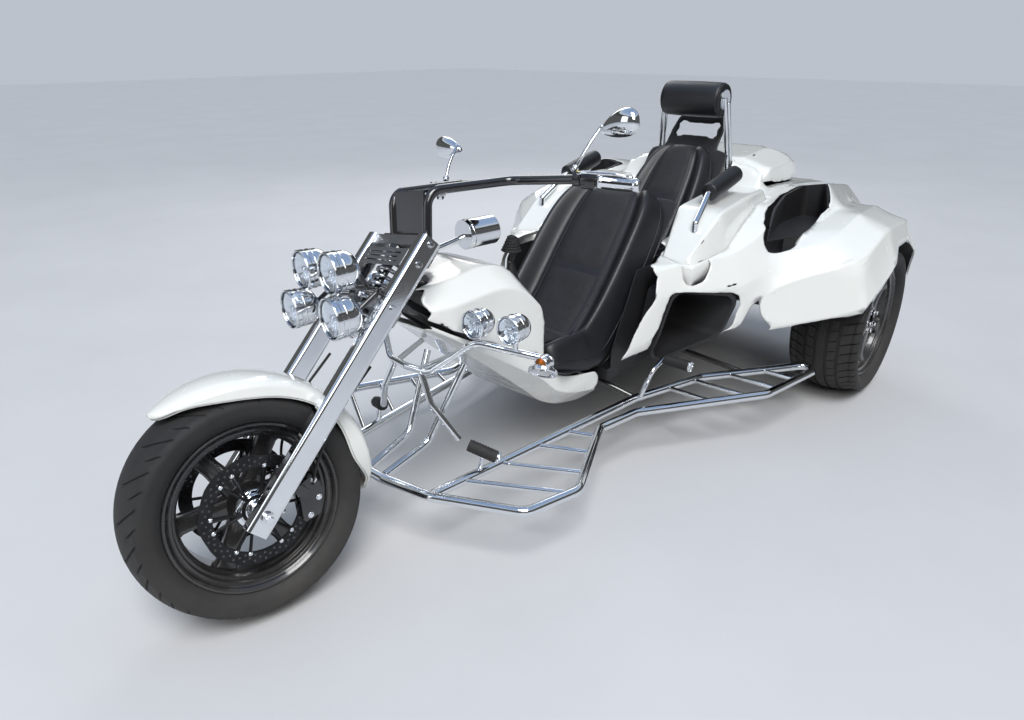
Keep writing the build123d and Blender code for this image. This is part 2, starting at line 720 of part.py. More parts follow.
def fender_solid(wall, drop):
    faces = []
    for ahead, outline in FENDER:
        inner_foot, outer_foot, side, shoulder, crest, inner_top = outline
        points = [
            (inner_foot[0], inner_foot[1] - drop), (outer_foot[0] - wall, outer_foot[1] - drop),
            (side[0] - wall, side[1]), (shoulder[0] - wall, shoulder[1] - wall),
            (crest[0] - 0.3 * wall, crest[1] - wall), (inner_top[0], inner_top[1] - wall),
        ]
        faces.append(station(ahead, points, 20 - wall))
    return loft(faces, ruled=True)


def raised_solid(wall):
    faces = []
    for ahead, half, edge, crest in RAISED:
        side = half - wall
        points = [(side, RAISED_BASE - wall), (side - 10, edge - wall), (side * 0.6, crest - 4 - wall)]
        faces.append(station(ahead, mirrored_points(points), 9 if wall else 12))
    return loft(faces, ruled=True)


# Consoles beside the passenger: (ahead, inner side, outer side, foot, top)
CONSOLE = [
    (925, 300, 440, 686, 704), (700, 228, 462, 700, 862), (450, 222, 455, 720, 884),
    (262, 222, 435, 790, 884),
]
CONSOLE_WALL = 5.0


def console_solid(wall, grow, deeper):
    faces = []
    for index, (ahead, inner, outer, foot, top) in enumerate(CONSOLE):
        first = index == 0
        last = index == len(CONSOLE) - 1
        place = ahead - 3 * wall if first else ahead + wall if last else ahead
        place += grow if first else -grow if last else 0
        low_in, low_out = inner + wall - grow, outer - wall + grow
        high_in, high_out = low_in + 12, low_out - 36
        points = [(low_in, foot - deeper), (low_out, foot - deeper)]
        if deeper:
            points.append((low_out, foot))
        points += [(high_out, top - wall + grow), (high_in, top - wall + grow)]
        if deeper:
            points.append((low_in, foot))
        faces.append(station(place, points, 5 if first else 16))
    return loft(faces, ruled=True)


def consoles():
    left = console_solid(0, 0, 0) - console_solid(CONSOLE_WALL, 0, 60)
    return both(left)


def headrest_bars(grow, lower):
    bars = []
    for top, foot in HEADREST_BARS:
        start = at(*top)
        end = at(*foot)
        end += (end - start).normalized() * lower
        bars.append(rod(start, end, HEADREST_BAR_R + grow))
    return bars


def body_forms():
    """Body shell, lid, and the inner form that the liners are trimmed to."""
    hull = hull_solid(0, 0)
    fender = fender_solid(0, 0)
    fender_in = fender_solid(BODY_WALL, 160)
    cavity = hull_solid(BODY_WALL, 160) + fender_in + mirrored(fender_in)
    raised = raised_solid(0)
    raised_in = raised_solid(CONSOLE_WALL)
    hollow = raised - raised_in
    tail = block((-700, -700, 0), (LID_SPLIT - 3, 700, 1400))
    nose = block((LID_SPLIT + 3, -700, 0), (700, 700, 1400))
    lip = block((LID_SPLIT - 3 - CONSOLE_WALL, -700, 0), (LID_SPLIT - 3, 700, 1400))
    lid_back = RAISED[-1][0] + CONSOLE_WALL
    back_wall = block((lid_back - 20, -700, 0), (lid_back, 700, 1400))
    lid = (hollow & tail) + (raised & lip) + (raised & back_wall)
    lid -= hull.moved(Pos(0, 0, CLEAR))
    ahead, up = HINGE
    for side in (1, -1):
        near, far = sorted((side * HINGE_LEFT, side * (HINGE_LEFT + 30)))
        lid += rod(at(ahead, near, up), at(ahead, far, up), HINGE_R)
        lid += block((ahead, near, up - HINGE_R), (-283, far, up + HINGE_R))
    lid -= rod(at(ahead, -400, up), at(ahead, 400, up), HINGE_PIN_R + RUNNING)
    bridge = (hollow & nose) + (raised & block((LID_SPLIT + 3, -700, 0), (LID_SPLIT + 8, 700, 1400)))
    shell = hull + fender + mirrored(fender) - cavity - (raised_in & nose)
    shell += bridge - cavity
    end = HULL[-1]
    panel = extrude(station(end[0], mirrored_points(end[1]), 18), BODY_WALL, dir=(1, 0, 0))
    shell += panel
    (hole_back, hole_front), hole_half = TRUNK_HOLE
    shell -= block((hole_back, -hole_half, 700), (hole_front, hole_half, 1400))
    shell -= block((822, -WELL_FRONT_HALF, 345), (1300, WELL_FRONT_HALF, 1400))
    shell -= block((240, -WELL_REAR_HALF, 345), (830, WELL_REAR_HALF, 1400))
    shell -= side_plate(HULL_FRONT, 0, -400, 400)
    for side in (1, -1):
        near, far = sorted((side * (HINGE_LEFT - 8), side * (HINGE_LEFT + 38)))
        shell += rod(at(ahead, near, up), at(ahead, far, up), HINGE_PIN_R)
        for end in (near, far - 6):
            shell += block((ahead - 8, end, up - 36), (ahead + 7, end + 6, up + 8))
    pocket = console_solid(0, 1, 60)
    cuts = [pocket, side_plate(ARCH_OUTLINE, 0, 850, 1000), side_plate(SIDE_OPENING, 40, 300, 700)]
    cuts.append(top_plate(SCOOP, 30, 700, 1000))
    cuts += headrest_bars(1, 60)
    for cut in cuts:
        shell -= cut
        shell -= mirrored(cut)
    return shell, lid, cavity


ARCH_LINER_R = 357.0
ARCH_LINER_IN = 594.0
ARCH_LINER_OUT = 916.0
ARCH_LINER_FOOT = 435.0


def arch_liners(cavity):
    """A band over each rear wheel with a wall on its inner side."""
    centre = (0, REAR_TYRE_R)
    inner, outer = ARCH_LINER_IN, ARCH_LINER_OUT
    drum = rod(at(0, inner, centre[1]), at(0, outer, centre[1]), ARCH_LINER_R)
    drum -= rod(at(0, inner + LINER_WALL, centre[1]), at(0, outer + 9, centre[1]),
                ARCH_LINER_R - LINER_WALL)
    drum -= block((-500, 500, -100), (500, 1000, ARCH_LINER_FOOT))
    return both(drum & cavity.moved(Pos(0, -0.8, -0.8)))


SCOOP_FLOOR = 738.0
OPENING_BACK = 296.0
REAR_WELL_FOOT = 557.1


def body_liners(cavity):
    """Dark tubs behind the side openings and scoops, and the well that holds both seats."""
    grown = [(1071, 318), (782, 402), (718, 568), (977, 621)]
    side = side_plate(grown, 46, OPENING_BACK, 700)
    side -= side_plate(SIDE_OPENING, 40, OPENING_BACK + LINER_WALL, 720)
    wide = [(662, 590), (434, 510), (199, 460), (10, 470), (-7, 564), (114, 630), (330, 641),
            (527, 625)]
    scoop = top_plate(wide, 34, SCOOP_FLOOR, 1000)
    scoop -= top_plate(SCOOP, 30, SCOOP_FLOOR + LINER_WALL, 1010)
    scoop -= console_solid(0, 2, 60)
    inside = cavity.moved(Pos(0, -1.2, -1.2))
    tubs = (side & inside) + (scoop & inside)
    a_half = WELL_FRONT_HALF - CLEAR
    b_half = WELL_REAR_HALF - CLEAR
    front = block((826, -a_half, WELL_FOOT), (1214, a_half, 684))
    rear = block((246, -b_half, REAR_WELL_FOOT), (830, b_half, 692))
    wall = LINER_WALL
    hollow = block((826 + wall, wall - a_half, WELL_FOOT + wall), (1214 - wall, a_half - wall, 900))
    low = REAR_WELL_FOOT + wall
    hollow += block((246 + wall, wall - b_half, low), (830 + wall, b_half - wall, 900))
    well = front + rear - hollow - block((1190, -a_half, 344), (1230, a_half, 900))
    well -= side_plate(HULL_FRONT, 0, -400, 400).moved(Pos(-LINER_WALL, 0, 0))
    return [tubs, mirrored(tubs), well]


def luggage_tub():
    (back, front), half = TRUNK_HOLE
    outer = block((back + CLEAR, CLEAR - half, TUB_FOOT), (front - CLEAR, half - CLEAR, 840.5))
    near = 2 * GAP
    outer += block((back + near, near - half, 828), (front - near, half - near, 840.5))
    wall = LINER_WALL
    inner = block((back + CLEAR + wall, CLEAR + wall - half, TUB_FOOT + wall),
                  (front - CLEAR - wall, half - CLEAR - wall, 900))
    return outer - inner


# Seats, side outlines in (ahead, up)
DRIVER_PAD = [(1450, 470), (1215, 420), (790, 930), (736, 885), (1180, 355), (1450, 400)]
DRIVER_BOLSTER = [
    (1476, 440), (1430, 512), (1262, 482), (880, 945), (786, 944), (736, 885), (1180, 355),
    (1450, 400),
]
DRIVER_BACKING = [(1450, 400), (1180, 355), (736, 885)]
DRIVER_PAD_HALF = 150.0
DRIVER_HALF = 262.0
PASSENGER_PAD = [(800, 700), (545, 668), (240, 1065), (180, 1020), (523, 570), (800, 590)]
PASSENGER_BACKING = [(800, 590), (523, 570), (190, 1007)]
PASSENGER_HALF = 193.0
SEAT_SHELL = 8.0
HOOP = [(-128, -60), (128, -60), (128, 130), (100, 196), (-100, 196), (-128, 130)]
HOOP_SLOT = [(-90, 66), (90, 66), (90, 128), (-90, 128)]


def cushion(outline, bends, inner, outer, soften):
    shape = side_plate(outline, bends, inner, outer)
    return fillet(shape.faces().filter_by(Axis.Y).edges(), soften)


def driver_seat():
    pad = cushion(DRIVER_PAD, 24, -DRIVER_PAD_HALF, DRIVER_PAD_HALF, 12)
    bolster = cushion(DRIVER_BOLSTER, 30, DRIVER_PAD_HALF + 1, DRIVER_HALF, 26)
    return [pad] + both(bolster)


def passenger_seat():
    return cushion(PASSENGER_PAD, 24, -PASSENGER_HALF, PASSENGER_HALF, 20)


def seat_shells():
    near, far = -GAP, -GAP - SEAT_SHELL
    driver = side_plate(strip(DRIVER_BACKING, near, far), 0, -DRIVER_HALF, DRIVER_HALF)
    passenger = side_plate(strip(PASSENGER_BACKING, near, far), 0, -PASSENGER_HALF, PASSENGER_HALF)
    (low_x, low_z), (top_x, top_z) = PASSENGER_BACKING[1], PASSENGER_BACKING[2]
    long = sqrt((top_x - low_x)**2 + (top_z - low_z)**2)
    facing = Vector((top_z - low_z) / long, 0, (low_x - top_x) / long)
    middle = at(top_x, 0, top_z) - facing * (GAP + SEAT_SHELL / 2)
    plane = Plane(origin=middle, x_dir=(0, 1, 0), z_dir=facing)
    hoop = plate(HOOP, 24, plane, SEAT_SHELL) - plate(HOOP_SLOT, 12, plane, 3 * SEAT_SHELL)
    return [driver, passenger + hoop]


HEADREST = (180, 1214)
HEADREST_R = 75.0
HEADREST_HALF = 135.0
HEADREST_BAR_R = 9.0
HEADREST_BARS = [((200, 149, 1224), (158, 169, 958)), ((166, 149, 1206), (126, 169, 968))]
ARMREST = [(655, 340, 914), (435, 340, 960)]
ARMREST_R = 36.0
ARM_FOOT = (792, 366, 824)
ARM_R = 12.0


def rest_pads():
    ahead, up = HEADREST
    roll = rod(at(ahead, -HEADREST_HALF, up), at(ahead, HEADREST_HALF, up), HEADREST_R)
    roll = fillet(roll.edges(), 22)
    roll -= rod(at(ahead, -200, up), at(ahead, 200, up), HEADREST_BAR_R + GAP)
    arm = rod(at(*ARMREST[0]), at(*ARMREST[1]), ARMREST_R)
    arm = fillet(arm.edges().filter_by(GeomType.CIRCLE), 8)
    return [roll] + both(arm)


def rest_frames():
    """Headrest cross rod, end discs and paired uprights, and the arm of each armrest."""
    ahead, up = HEADREST
    frame = rod(at(ahead, -149, up), at(ahead, 149, up), HEADREST_BAR_R)
    for side in (1, -1):
        near, far = HEADREST_HALF + 1, HEADREST_HALF + 8
        frame += rod(at(ahead, side * near, up), at(ahead, side * far, up), 44)
    bars = headrest_bars(0, 40)
    for bar in bars:
        frame += bar
        frame += mirrored(bar)
    tip = until(ARM_FOOT, ARMREST[0], 6)
    foot = at(*ARM_FOOT)
    arm = rod(foot, at(tip.X, tip.Y, tip.Z), ARM_R) + Pos(*foot) * Sphere(ARM_R)
    arm += rod(foot - Vector(0, 0, 60), foot, ARM_R)
    arm = max((arm - console_solid(0, GAP, 0)).solids(), key=lambda solid: solid.volume)
    return [frame] + both(arm)


# Side guards at one height, left half: (ahead, left)
GUARD_UP = 200.0
GUARD_OUTER = [(2081, 0), (2081, 40), (2054, 227), (1928, 493), (1735, 542), (1376, 372), (1186, 405),
               (734, 706), (405, 765), (352, 725), (760, 441)]
GUARD_BENDS = [60, 60, 60, 60, 60, 60, 60, 34, 34]
GUARD_INNER = [(2052, 222), (1772, 258), (1088, 340), (760, 441)]
GUARD_INNER_BENDS = [80, 120]
RUNGS = [
    ((1928, 240), (1766, 530)), ((1776, 260), (1647, 496)), ((1612, 279), (1532, 441)),
    ((1470, 296), (1430, 396)), ((930, 390), (930, 574)), ((800, 430), (800, 660)),
    ((660, 510), (660, 716)), ((530, 601), (530, 738)),
]
GUARD_FEET = [(1090, 339, 200), (600, 552, 200)]
FRONT_STRUT = [(1752, 88, 494), (1890, 46, 250), (2068, 36, 206)]
PEG_ARM = [(1085, 358, 212), (1080, 394, 322), (1004, 396, 350)]
REAR_PEG = [(1002, 405.3, 350), (1002, 510, 350)]
FRONT_PEG = [(1866, 208, 288), (1824, 296, 256)]
CARRIER = [(1918, 61, 516), (1926, 110, 420), (1882, 182, 306)]


LEAST_PIECE = 5000.0


def side_guards():
    level = GUARD_UP
    parts = []
    for side in (1, -1):
        parts.extend(guard_tubes(side, GUARD_R))
        parts.append(Pos(*at(760, side * 441, level)) * Sphere(GUARD_R))
        for start, end in RUNGS:
            parts.append(rod(at(start[0], side * start[1], level), at(end[0], side * end[1], level), RUNG_R))
        strut = [at(a, side * b, c) for a, b, c in FRONT_STRUT]
        parts.append(tube(strut, 60, 12))
        arm = [at(a, side * b, c) for a, b, c in PEG_ARM]
        parts.append(tube(arm, 34, 9))
        carrier = [at(a, side * b, c) for a, b, c in CARRIER]
        parts.append(tube(carrier, 40, 11))
        parts.append(rod(at(1862, side * 247, level + 8), at(1847, side * 252, level + 70), 9))
    whole = parts[0]
    for part in parts[1:]:
        whole += part
    for side in (1, -1):
        path = [at(a, side * b, c) for a, b, c in LAMP_BAR]
        whole -= tube(path, LAMP_BAR_BENDS, LAMP_BAR_R + GAP)
        start, end = [at(a, side * b, c) for a, b, c in FRONT_PEG]
        whole -= rod(start, end, PEG_R + GAP)
    loose = [solid for solid in whole.solids() if solid.volume > LEAST_PIECE]
    return loose


def foot_pegs():
    pegs = []
    for start, end in (REAR_PEG, FRONT_PEG):
        pegs.append(rod(at(*start), at(*end), PEG_R))
    return both(pegs[0]) + both(pegs[1])


LEVER_FOOT = (1515, 80, 700)
LEVER_TOP = (1507, 80, 842)
BOOT_R = 32.0


def gear_lever():
    foot, top = at(*LEVER_FOOT), at(*LEVER_TOP)
    lever = rod(foot, top, 6)
    boot = Pos(foot.X, foot.Y, foot.Z + 40) * Cone(BOOT_R, 9, 80)
    knob = Pos(top.X, top.Y, top.Z) * Sphere(24)
    return lever + boot + knob


# Side lamp bar and lamps, left half: (ahead, left, up)
LAMP_BAR = [(1925, 0, 520), (1912, 90, 518), (1838, 215, 628), (1745, 395, 599)]
LAMP_BAR_BENDS = [50, 60]
LAMP_BAR_R = 11.0
SIDE_LAMPS = [(1852, 222, 690), (1812, 326, 686)]
SIDE_LAMP_R = 44.0
SIDE_LAMP_LONG = 72.0
SIGNAL = (1765, 412, 590)
SIGNAL_R = 24.0
SIGNAL_LONG = 44.0


def side_lamp_bar():
    parts = []
    for side in (1, -1):
        path = [at(a, side * b, c) for a, b, c in LAMP_BAR]
        parts.append(tube(path, LAMP_BAR_BENDS, LAMP_BAR_R))
        parts.append(rod(at(1918, side * 50, 520), at(1778, side * 84, 538.2), 9))
        for ahead, left, up in SIDE_LAMPS:
            base = up - SIDE_LAMP_R + 2.1
            middle = ahead - 32
            parts.append(rod(at(middle, side * left, base), at(middle, side * left, 620), 8))
    whole = parts[0]
    for part in parts[1:]:
        whole += part
    ahead, left, up = SIGNAL
    for side in (1, -1):
        start, end = at(ahead + 5, side * left, up), at(ahead - 60, side * left, up)
        whole -= rod(start, end, SIGNAL_R + GAP)
    return max(whole.solids(), key=lambda solid: solid.volume)


def side_lamp_cans():
    cans = []
    for place in SIDE_LAMPS:
        cans += both(Pos(*at(*place)) * lamp_can(SIDE_LAMP_R, SIDE_LAMP_LONG))
    return cans + both(Pos(*at(*SIGNAL)) * lamp_can(SIGNAL_R, SIGNAL_LONG))


def side_lamp_lenses():
    lenses = []
    for place in SIDE_LAMPS:
        lenses += both(Pos(*at(*place)) * lamp_lens(SIDE_LAMP_R))
    return lenses


REAR_LAMP = (500, 690)
REAR_LAMP_R = 45.0
REAR_SIGNAL = (500, 590)
REAR_SIGNAL_R = 32.0
LAMP_STANDS = 26.0


def tail_disc(place, radius):
    back = HULL[-1][0] - GAP
    left, up = place
    disc = rod(at(back, left, up), at(back - LAMP_STANDS, left, up), radius)
    return both(fillet(disc.edges().sort_by(Axis.X)[:1], 8))


def indicator_lenses():
    front = both(Pos(*at(*SIGNAL)) * lamp_lens(SIGNAL_R))
    return front + tail_disc(REAR_SIGNAL, REAR_SIGNAL_R)


def rear_axle():
    """Beam on saddles over the frame rails, with the wheel shafts at its ends."""
    up = REAR_TYRE_R
    beam_end = REAR_CENTRE_Y - REAR_HUB_LONG / 2 - CLEAR
    shaft_end = REAR_CENTRE_Y + REAR_HUB_LONG / 2 + 8
    beam = rod(at(0, -beam_end, up), at(0, beam_end, up), BEAM_R)
    beam += rod(at(0, -shaft_end, up), at(0, shaft_end, up), HUB_SHAFT_R)
    rail_y = LOWER_RAIL[-1][1]
    rail_top = LOWER_RAIL[-1][2] + RAIL_R + GAP
    for side in (1, -1):
        low = min(side * (rail_y - 24), side * (rail_y + 24))
        beam += block((-34, low, rail_top), (34, low + 48, up))
    return beam


ENGINE = [(-425, -262, 284.3), (-76, 262, 610)]
GEARBOX = [(60, -112, 279.3), (360, 112, 455)]


def drive_blocks():
    return [block(*ENGINE), block(*GEARBOX)]


MUFFLER = [(-150, 335, 345), (-420, 335, 345)]
MUFFLER_R = 48.0
TAIL_PIPE_R = 24.0
HEADER_PIPES = [-190, -320]
HEADER_UP = 348.0


def exhausts():
    start, end = at(*MUFFLER[0]), at(*MUFFLER[1])
    can = rod(start, end, MUFFLER_R)
    tip = at(-TAIL_BACK, MUFFLER[1][1], MUFFLER[1][2])
    can += rod(end, tip, TAIL_PIPE_R)
    can -= rod(end - Vector(20, 0, 0), tip - Vector(9, 0, 0), TAIL_PIPE_R - 3)
    for ahead in HEADER_PIPES:
        can += rod(at(ahead, ENGINE[1][1] + GAP, HEADER_UP), at(ahead, MUFFLER[0][1], HEADER_UP), 17)
    return both(can)


PLATE_HALF = 120.0
PLATE_UP = [470, 620]
PLATE_BOLTS = (146.0, 70.0)
PLATE_BOLT_R = 3.3
PLATE_THICK = 4.0


def plate_holder():
    back = HULL[-1][0] - GAP
    face = back - 22
    low, high = PLATE_UP
    holder = block((face, -48, low + 25), (back, 48, high - 25))
    holder += block((face - PLATE_THICK, -PLATE_HALF, low), (face, PLATE_HALF, high))
    middle = (low + high) / 2
    for side_y in (1, -1):
        for side_z in (1, -1):
            spot_y = side_y * PLATE_BOLTS[0] / 2
            spot_z = middle + side_z * PLATE_BOLTS[1] / 2
            holder -= rod(at(face - 10, spot_y, spot_z), at(face + 5, spot_y, spot_z), PLATE_BOLT_R)
    return holder


def write_steering():
    front = STEERED * WHEEL_PLACE
    write("front_tyre", front * tyre_form(FRONT_TYRE_R, FRONT_TYRE_W, FRONT_BEAD_R))
    write("front_rim", front * rim_form(
        FRONT_BEAD_R, FRONT_TYRE_W, FRONT_SPOKES, FRONT_HUB_R, FRONT_HUB_LONG, 0,
        FRONT_AXLE_R + RUNNING))
    write("front_discs", [front * disc for disc in front_discs()])
    write("brake_calipers", [front * item for item in calipers()])
    write("fork_legs", STEERED * fork_legs())
    write("fork_clamps", STEERED * fork_clamps(), STEERED * cross_plate())
    write("fork_spring", STEERED * fork_spring())
    places = fork_lamp_places()
    write("fork_lamp_cans", [STEERED * place * lamp_can(LAMP_R, LAMP_LONG) for place in places])
    write("fork_lamp_lenses", [STEERED * place * lamp_lens(LAMP_R) for place in places])
    write("lamp_bracket", STEERED * lamp_bracket())
    write("front_fender", front * front_fender())
    write("handlebar", STEERED * handlebar())
    write("grips", [STEERED * item for item in grips()])
    write("mirror_shells", [STEERED * item for item in mirror_shell()])
    write("mirror_glass", [STEERED * item for item in mirror_glass()])
    write("instrument_can", STEERED * instrument())


def write_chassis():
    write("frame", frame_tubes())
    write("front_fairing", front_fairing())
    shell, lid, cavity = body_forms()
    write("body_shell", shell)
    write("luggage_lid", lid)
    write("body_liners", body_liners(cavity))
    write("arch_liners", arch_liners(cavity))
    write("consoles", consoles())
    write("luggage_tub", luggage_tub())
    write("driver_seat", driver_seat())
    write("passenger_seat", passenger_seat())
    write("seat_shells", seat_shells())
    write("rest_pads", rest_pads())
    write("rest_frames", rest_frames())
    write("side_guards", side_guards())
    write("foot_pegs", foot_pegs())
    write("gear_lever", gear_lever())
    write("side_lamp_bar", side_lamp_bar())
    write("side_lamp_cans", side_lamp_cans())
    write("side_lamp_lenses", side_lamp_lenses())
    write("indicator_lenses", indicator_lenses())
    write("rear_lamps", tail_disc(REAR_LAMP, REAR_LAMP_R))
    write("rear_axle", rear_axle())
    write("drive_blocks", drive_blocks())
    write("exhausts", exhausts())
    write("plate_holder", plate_holder())


def write_rear_wheels():
    for name, side in (("left", 1), ("right", -1)):
        place = Pos(*at(0, side * REAR_CENTRE_Y, REAR_TYRE_R))
        write(f"rear_tyre_{name}", place * tyre_form(REAR_TYRE_R, REAR_TYRE_W, REAR_BEAD_R))
        write(f"rear_rim_{name}", place * rim_form(
            REAR_BEAD_R, REAR_TYRE_W, REAR_SPOKES, REAR_HUB_R, REAR_HUB_LONG, side * REAR_DISH,
            HUB_SHAFT_R + RUNNING))


write_steering()
write_chassis()
write_rear_wheels()
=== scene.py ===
import json
from math import atan2, cos, exp, hypot, pi, radians, sin, sqrt, tau

import bmesh
import bpy
import numpy as np
from mathutils import Matrix, Vector
from mathutils.bvhtree import BVHTree
from mathutils.kdtree import KDTree

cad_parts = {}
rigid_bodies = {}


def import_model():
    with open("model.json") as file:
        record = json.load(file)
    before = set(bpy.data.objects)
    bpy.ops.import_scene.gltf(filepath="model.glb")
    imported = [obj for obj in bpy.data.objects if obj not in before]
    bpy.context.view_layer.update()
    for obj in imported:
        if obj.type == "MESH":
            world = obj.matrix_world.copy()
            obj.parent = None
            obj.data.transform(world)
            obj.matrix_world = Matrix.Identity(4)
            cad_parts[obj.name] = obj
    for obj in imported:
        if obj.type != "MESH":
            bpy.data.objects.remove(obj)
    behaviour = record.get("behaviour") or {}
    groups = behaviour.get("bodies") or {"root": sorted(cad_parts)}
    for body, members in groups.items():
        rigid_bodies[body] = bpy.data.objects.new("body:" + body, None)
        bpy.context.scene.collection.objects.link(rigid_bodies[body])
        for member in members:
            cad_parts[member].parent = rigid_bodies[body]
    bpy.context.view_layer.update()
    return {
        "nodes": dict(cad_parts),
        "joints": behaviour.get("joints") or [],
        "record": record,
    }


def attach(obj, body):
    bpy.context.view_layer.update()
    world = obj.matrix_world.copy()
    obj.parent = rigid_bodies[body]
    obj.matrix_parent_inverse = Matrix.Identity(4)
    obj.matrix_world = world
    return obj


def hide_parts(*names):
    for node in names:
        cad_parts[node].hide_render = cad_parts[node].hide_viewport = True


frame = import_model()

bl_info = {
    "name": "Motorized trike",
    "version": (1, 0, 0),
    "blender": (4, 5, 0),
    "location": "View3D > Sidebar > Trike",
    "description": "Dresses the trike's frame with its soft goods, tyres, lamps and finishes",
    "category": "Object",
}

NODES = frame["nodes"]

# Places on the trike, in metres: distance ahead of the rear axle, to the left, and up
REAR_AXLE_X = -1.16731
HEAD = (1.938, 0.0, 0.755)
RAKE = radians(45.5)
STEER = radians(-14.0)
FORK_OFFSET = 0.080


def at(ahead, left, up):
    return Vector((REAR_AXLE_X + ahead, left, up))


def joint(name):
    return next(item for item in frame["joints"] if item["name"] == name)


STEERED = (Matrix.Translation(at(*HEAD)) @ Matrix.Rotation(-RAKE, 4, "Y")
           @ Matrix.Rotation(STEER, 4, "Z"))
FRONT_CENTRE = STEERED.inverted() @ Vector(joint("front_wheel_spin")["pos_m"])
AXLE_DOWN = -FRONT_CENTRE.z
FRONT_WHEEL = STEERED @ Matrix.Translation((FORK_OFFSET, 0, -AXLE_DOWN))
REAR_WHEEL = {
    side: Matrix.Translation(Vector(joint(f"rear_wheel_{side}_spin")["pos_m"]))
    for side in ("left", "right")
}
SIDES = (("left", 1), ("right", -1))
WAYS = (1, -1)  # left and right, as signs of y


# Mesh helpers

def piece(name, verts, faces, body, slot, finish=None, smooth=True, place=None):
    """A named mesh that rides on a body; its finish is the slot's unless another is named."""
    mesh = bpy.data.meshes.new(name)
    mesh.from_pydata([tuple(v) for v in verts], [], faces)
    if place is not None:
        mesh.transform(place)
    work = bmesh.new()
    work.from_mesh(mesh)
    bmesh.ops.recalc_face_normals(work, faces=work.faces)
    work.to_mesh(mesh)
    work.free()
    mesh.polygons.foreach_set("use_smooth", [smooth] * len(mesh.polygons))
    made = bpy.data.objects.new(name, mesh)
    bpy.context.scene.collection.objects.link(made)
    mesh.materials.append(FINISHES[finish or slot])
    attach(made, body)
    return made


def soften_edges(made, width, segments=2, angle=30):
    """Rounds the piece's edges and keeps its flats flat."""
    bevel = made.modifiers.new("Rounded edges", "BEVEL")
    bevel.width = width
    bevel.segments = segments
    bevel.limit_method = "ANGLE"
    bevel.angle_limit = radians(angle)
    bevel.harden_normals = True
    return made


def rings_mesh(rings, closed=False, caps=False, looped=False):
    """Skins rings of points; closed joins each ring's ends, looped joins the last ring to
    the first."""
    verts = [point for ring in rings for point in ring]
    across = len(rings[0])
    faces = []
    last = len(rings) if looped else len(rings) - 1
    for i in range(last):
        here, there = i * across, (i + 1) % len(rings) * across
        for j in range(across if closed else across - 1):
            k = (j + 1) % across
            faces.append((here + j, here + k, there + k, there + j))
    if caps:
        faces.append(tuple(range(across)))
        faces.append(tuple((len(rings) - 1) * across + j for j in range(across)))
    return verts, faces


def spun(profile, steps=64, axis="X"):
    """Turns a profile of (along, radius) points about an axis."""
    rings = []
    for i in range(steps):
        a = tau * i / steps
        if axis == "X":
            rings.append([(along, r * cos(a), r * sin(a)) for along, r in profile])
        else:
            rings.append([(r * cos(a), along, r * sin(a)) for along, r in profile])
    return rings_mesh(rings, looped=True)


def joined(parts):
    """One mesh from several (verts, faces) pairs."""
    verts, faces = [], []
    for part_verts, part_faces in parts:
        start = len(verts)
        verts.extend(part_verts)
        faces.extend(tuple(start + i for i in face) for face in part_faces)
    return verts, faces


def moved(part, place):
    verts, faces = part
    return [place @ Vector(v) for v in verts], faces


def frames_along(path):
    """Directions along a path, with a side and an up that don't twist."""
    points = [Vector(p) for p in path]
    out = []
    up = Vector((0, 0, 1))
    for i, point in enumerate(points):
        ahead = (points[min(i + 1, len(points) - 1)] - points[max(i - 1, 0)]).normalized()
        side = ahead.cross(up)
        if side.length < 0.05:
            side = ahead.cross(Vector((1, 0, 0)))
        side.normalize()
        up = side.cross(ahead).normalized()
        out.append((point, side, up))
    return out


def swept(path, radius, sides=12, caps=True):
    """A round bar along a path of points."""
    rings = []
    for point, side, up in frames_along(path):
        rings.append([
            point + radius * (cos(tau * k / sides) * side + sin(tau * k / sides) * up)
            for k in range(sides)
        ])
    return rings_mesh(rings, closed=True, caps=caps)


def rounded_path(points, reach, steps=6):
    """The points with each corner turned into a short curve."""
    points = [Vector(p) for p in points]
    out = [points[0]]
    for before, corner, after in zip(points, points[1:], points[2:]):
        start = corner + (before - corner).normalized() * min(reach, (before - corner).length / 2)
        end = corner + (after - corner).normalized() * min(reach, (after - corner).length / 2)
        for k in range(steps + 1):
            t = k / steps
            out.append(start * (1 - t) ** 2 + corner * 2 * t * (1 - t) + end * t ** 2)
    out.append(points[-1])
    return out


def bolt(place, radius, height):
    """A hexagon head on a washer, its face along the place's local X."""
    washer = spun([(0, 0.0), (0, 1.35 * radius), (0.25 * height, 1.35 * radius),
                   (0.25 * height, 0.0)], 24)
    head = []
    for along, size in ((0.25 * height, 1.0), (0.92 * height, 1.0), (height, 0.86)):
        head.append([(along, size * radius * cos(tau * k / 6), size * radius * sin(tau * k / 6))
                     for k in range(6)])
    return moved(joined([washer, rings_mesh(head, closed=True, caps=True)]), place)


def aimed(point, direction):
    """A place at a point with local X along a direction."""
    ahead = Vector(direction).normalized()
    turn = ahead.to_track_quat("X", "Z").to_matrix().to_4x4()
    return Matrix.Translation(Vector(point)) @ turn


# Shader groups

def link(tree, out, into):
    tree.links.new(out, into)


def new_group(name, inputs, outputs):
    tree = bpy.data.node_groups.new(name, "ShaderNodeTree")
    for label, kind, value in inputs:
        socket = tree.interface.new_socket(label, in_out="INPUT", socket_type=kind)
        socket.default_value = value
    for label, kind in outputs:
        tree.interface.new_socket(label, in_out="OUTPUT", socket_type=kind)
    enter = tree.nodes.new("NodeGroupInput")
    leave = tree.nodes.new("NodeGroupOutput")
    place = tree.nodes.new("ShaderNodeTexCoord")
    return tree, enter, leave, place.outputs["Object"]


def maths(tree, kind, first, second=0.0, clamp=False):
    made = tree.nodes.new("ShaderNodeMath")
    made.operation = kind
    made.use_clamp = clamp
    for index, value in enumerate((first, second)):
        if isinstance(value, (int, float)):
            made.inputs[index].default_value = value
        else:
            link(tree, value, made.inputs[index])
    return made.outputs[0]


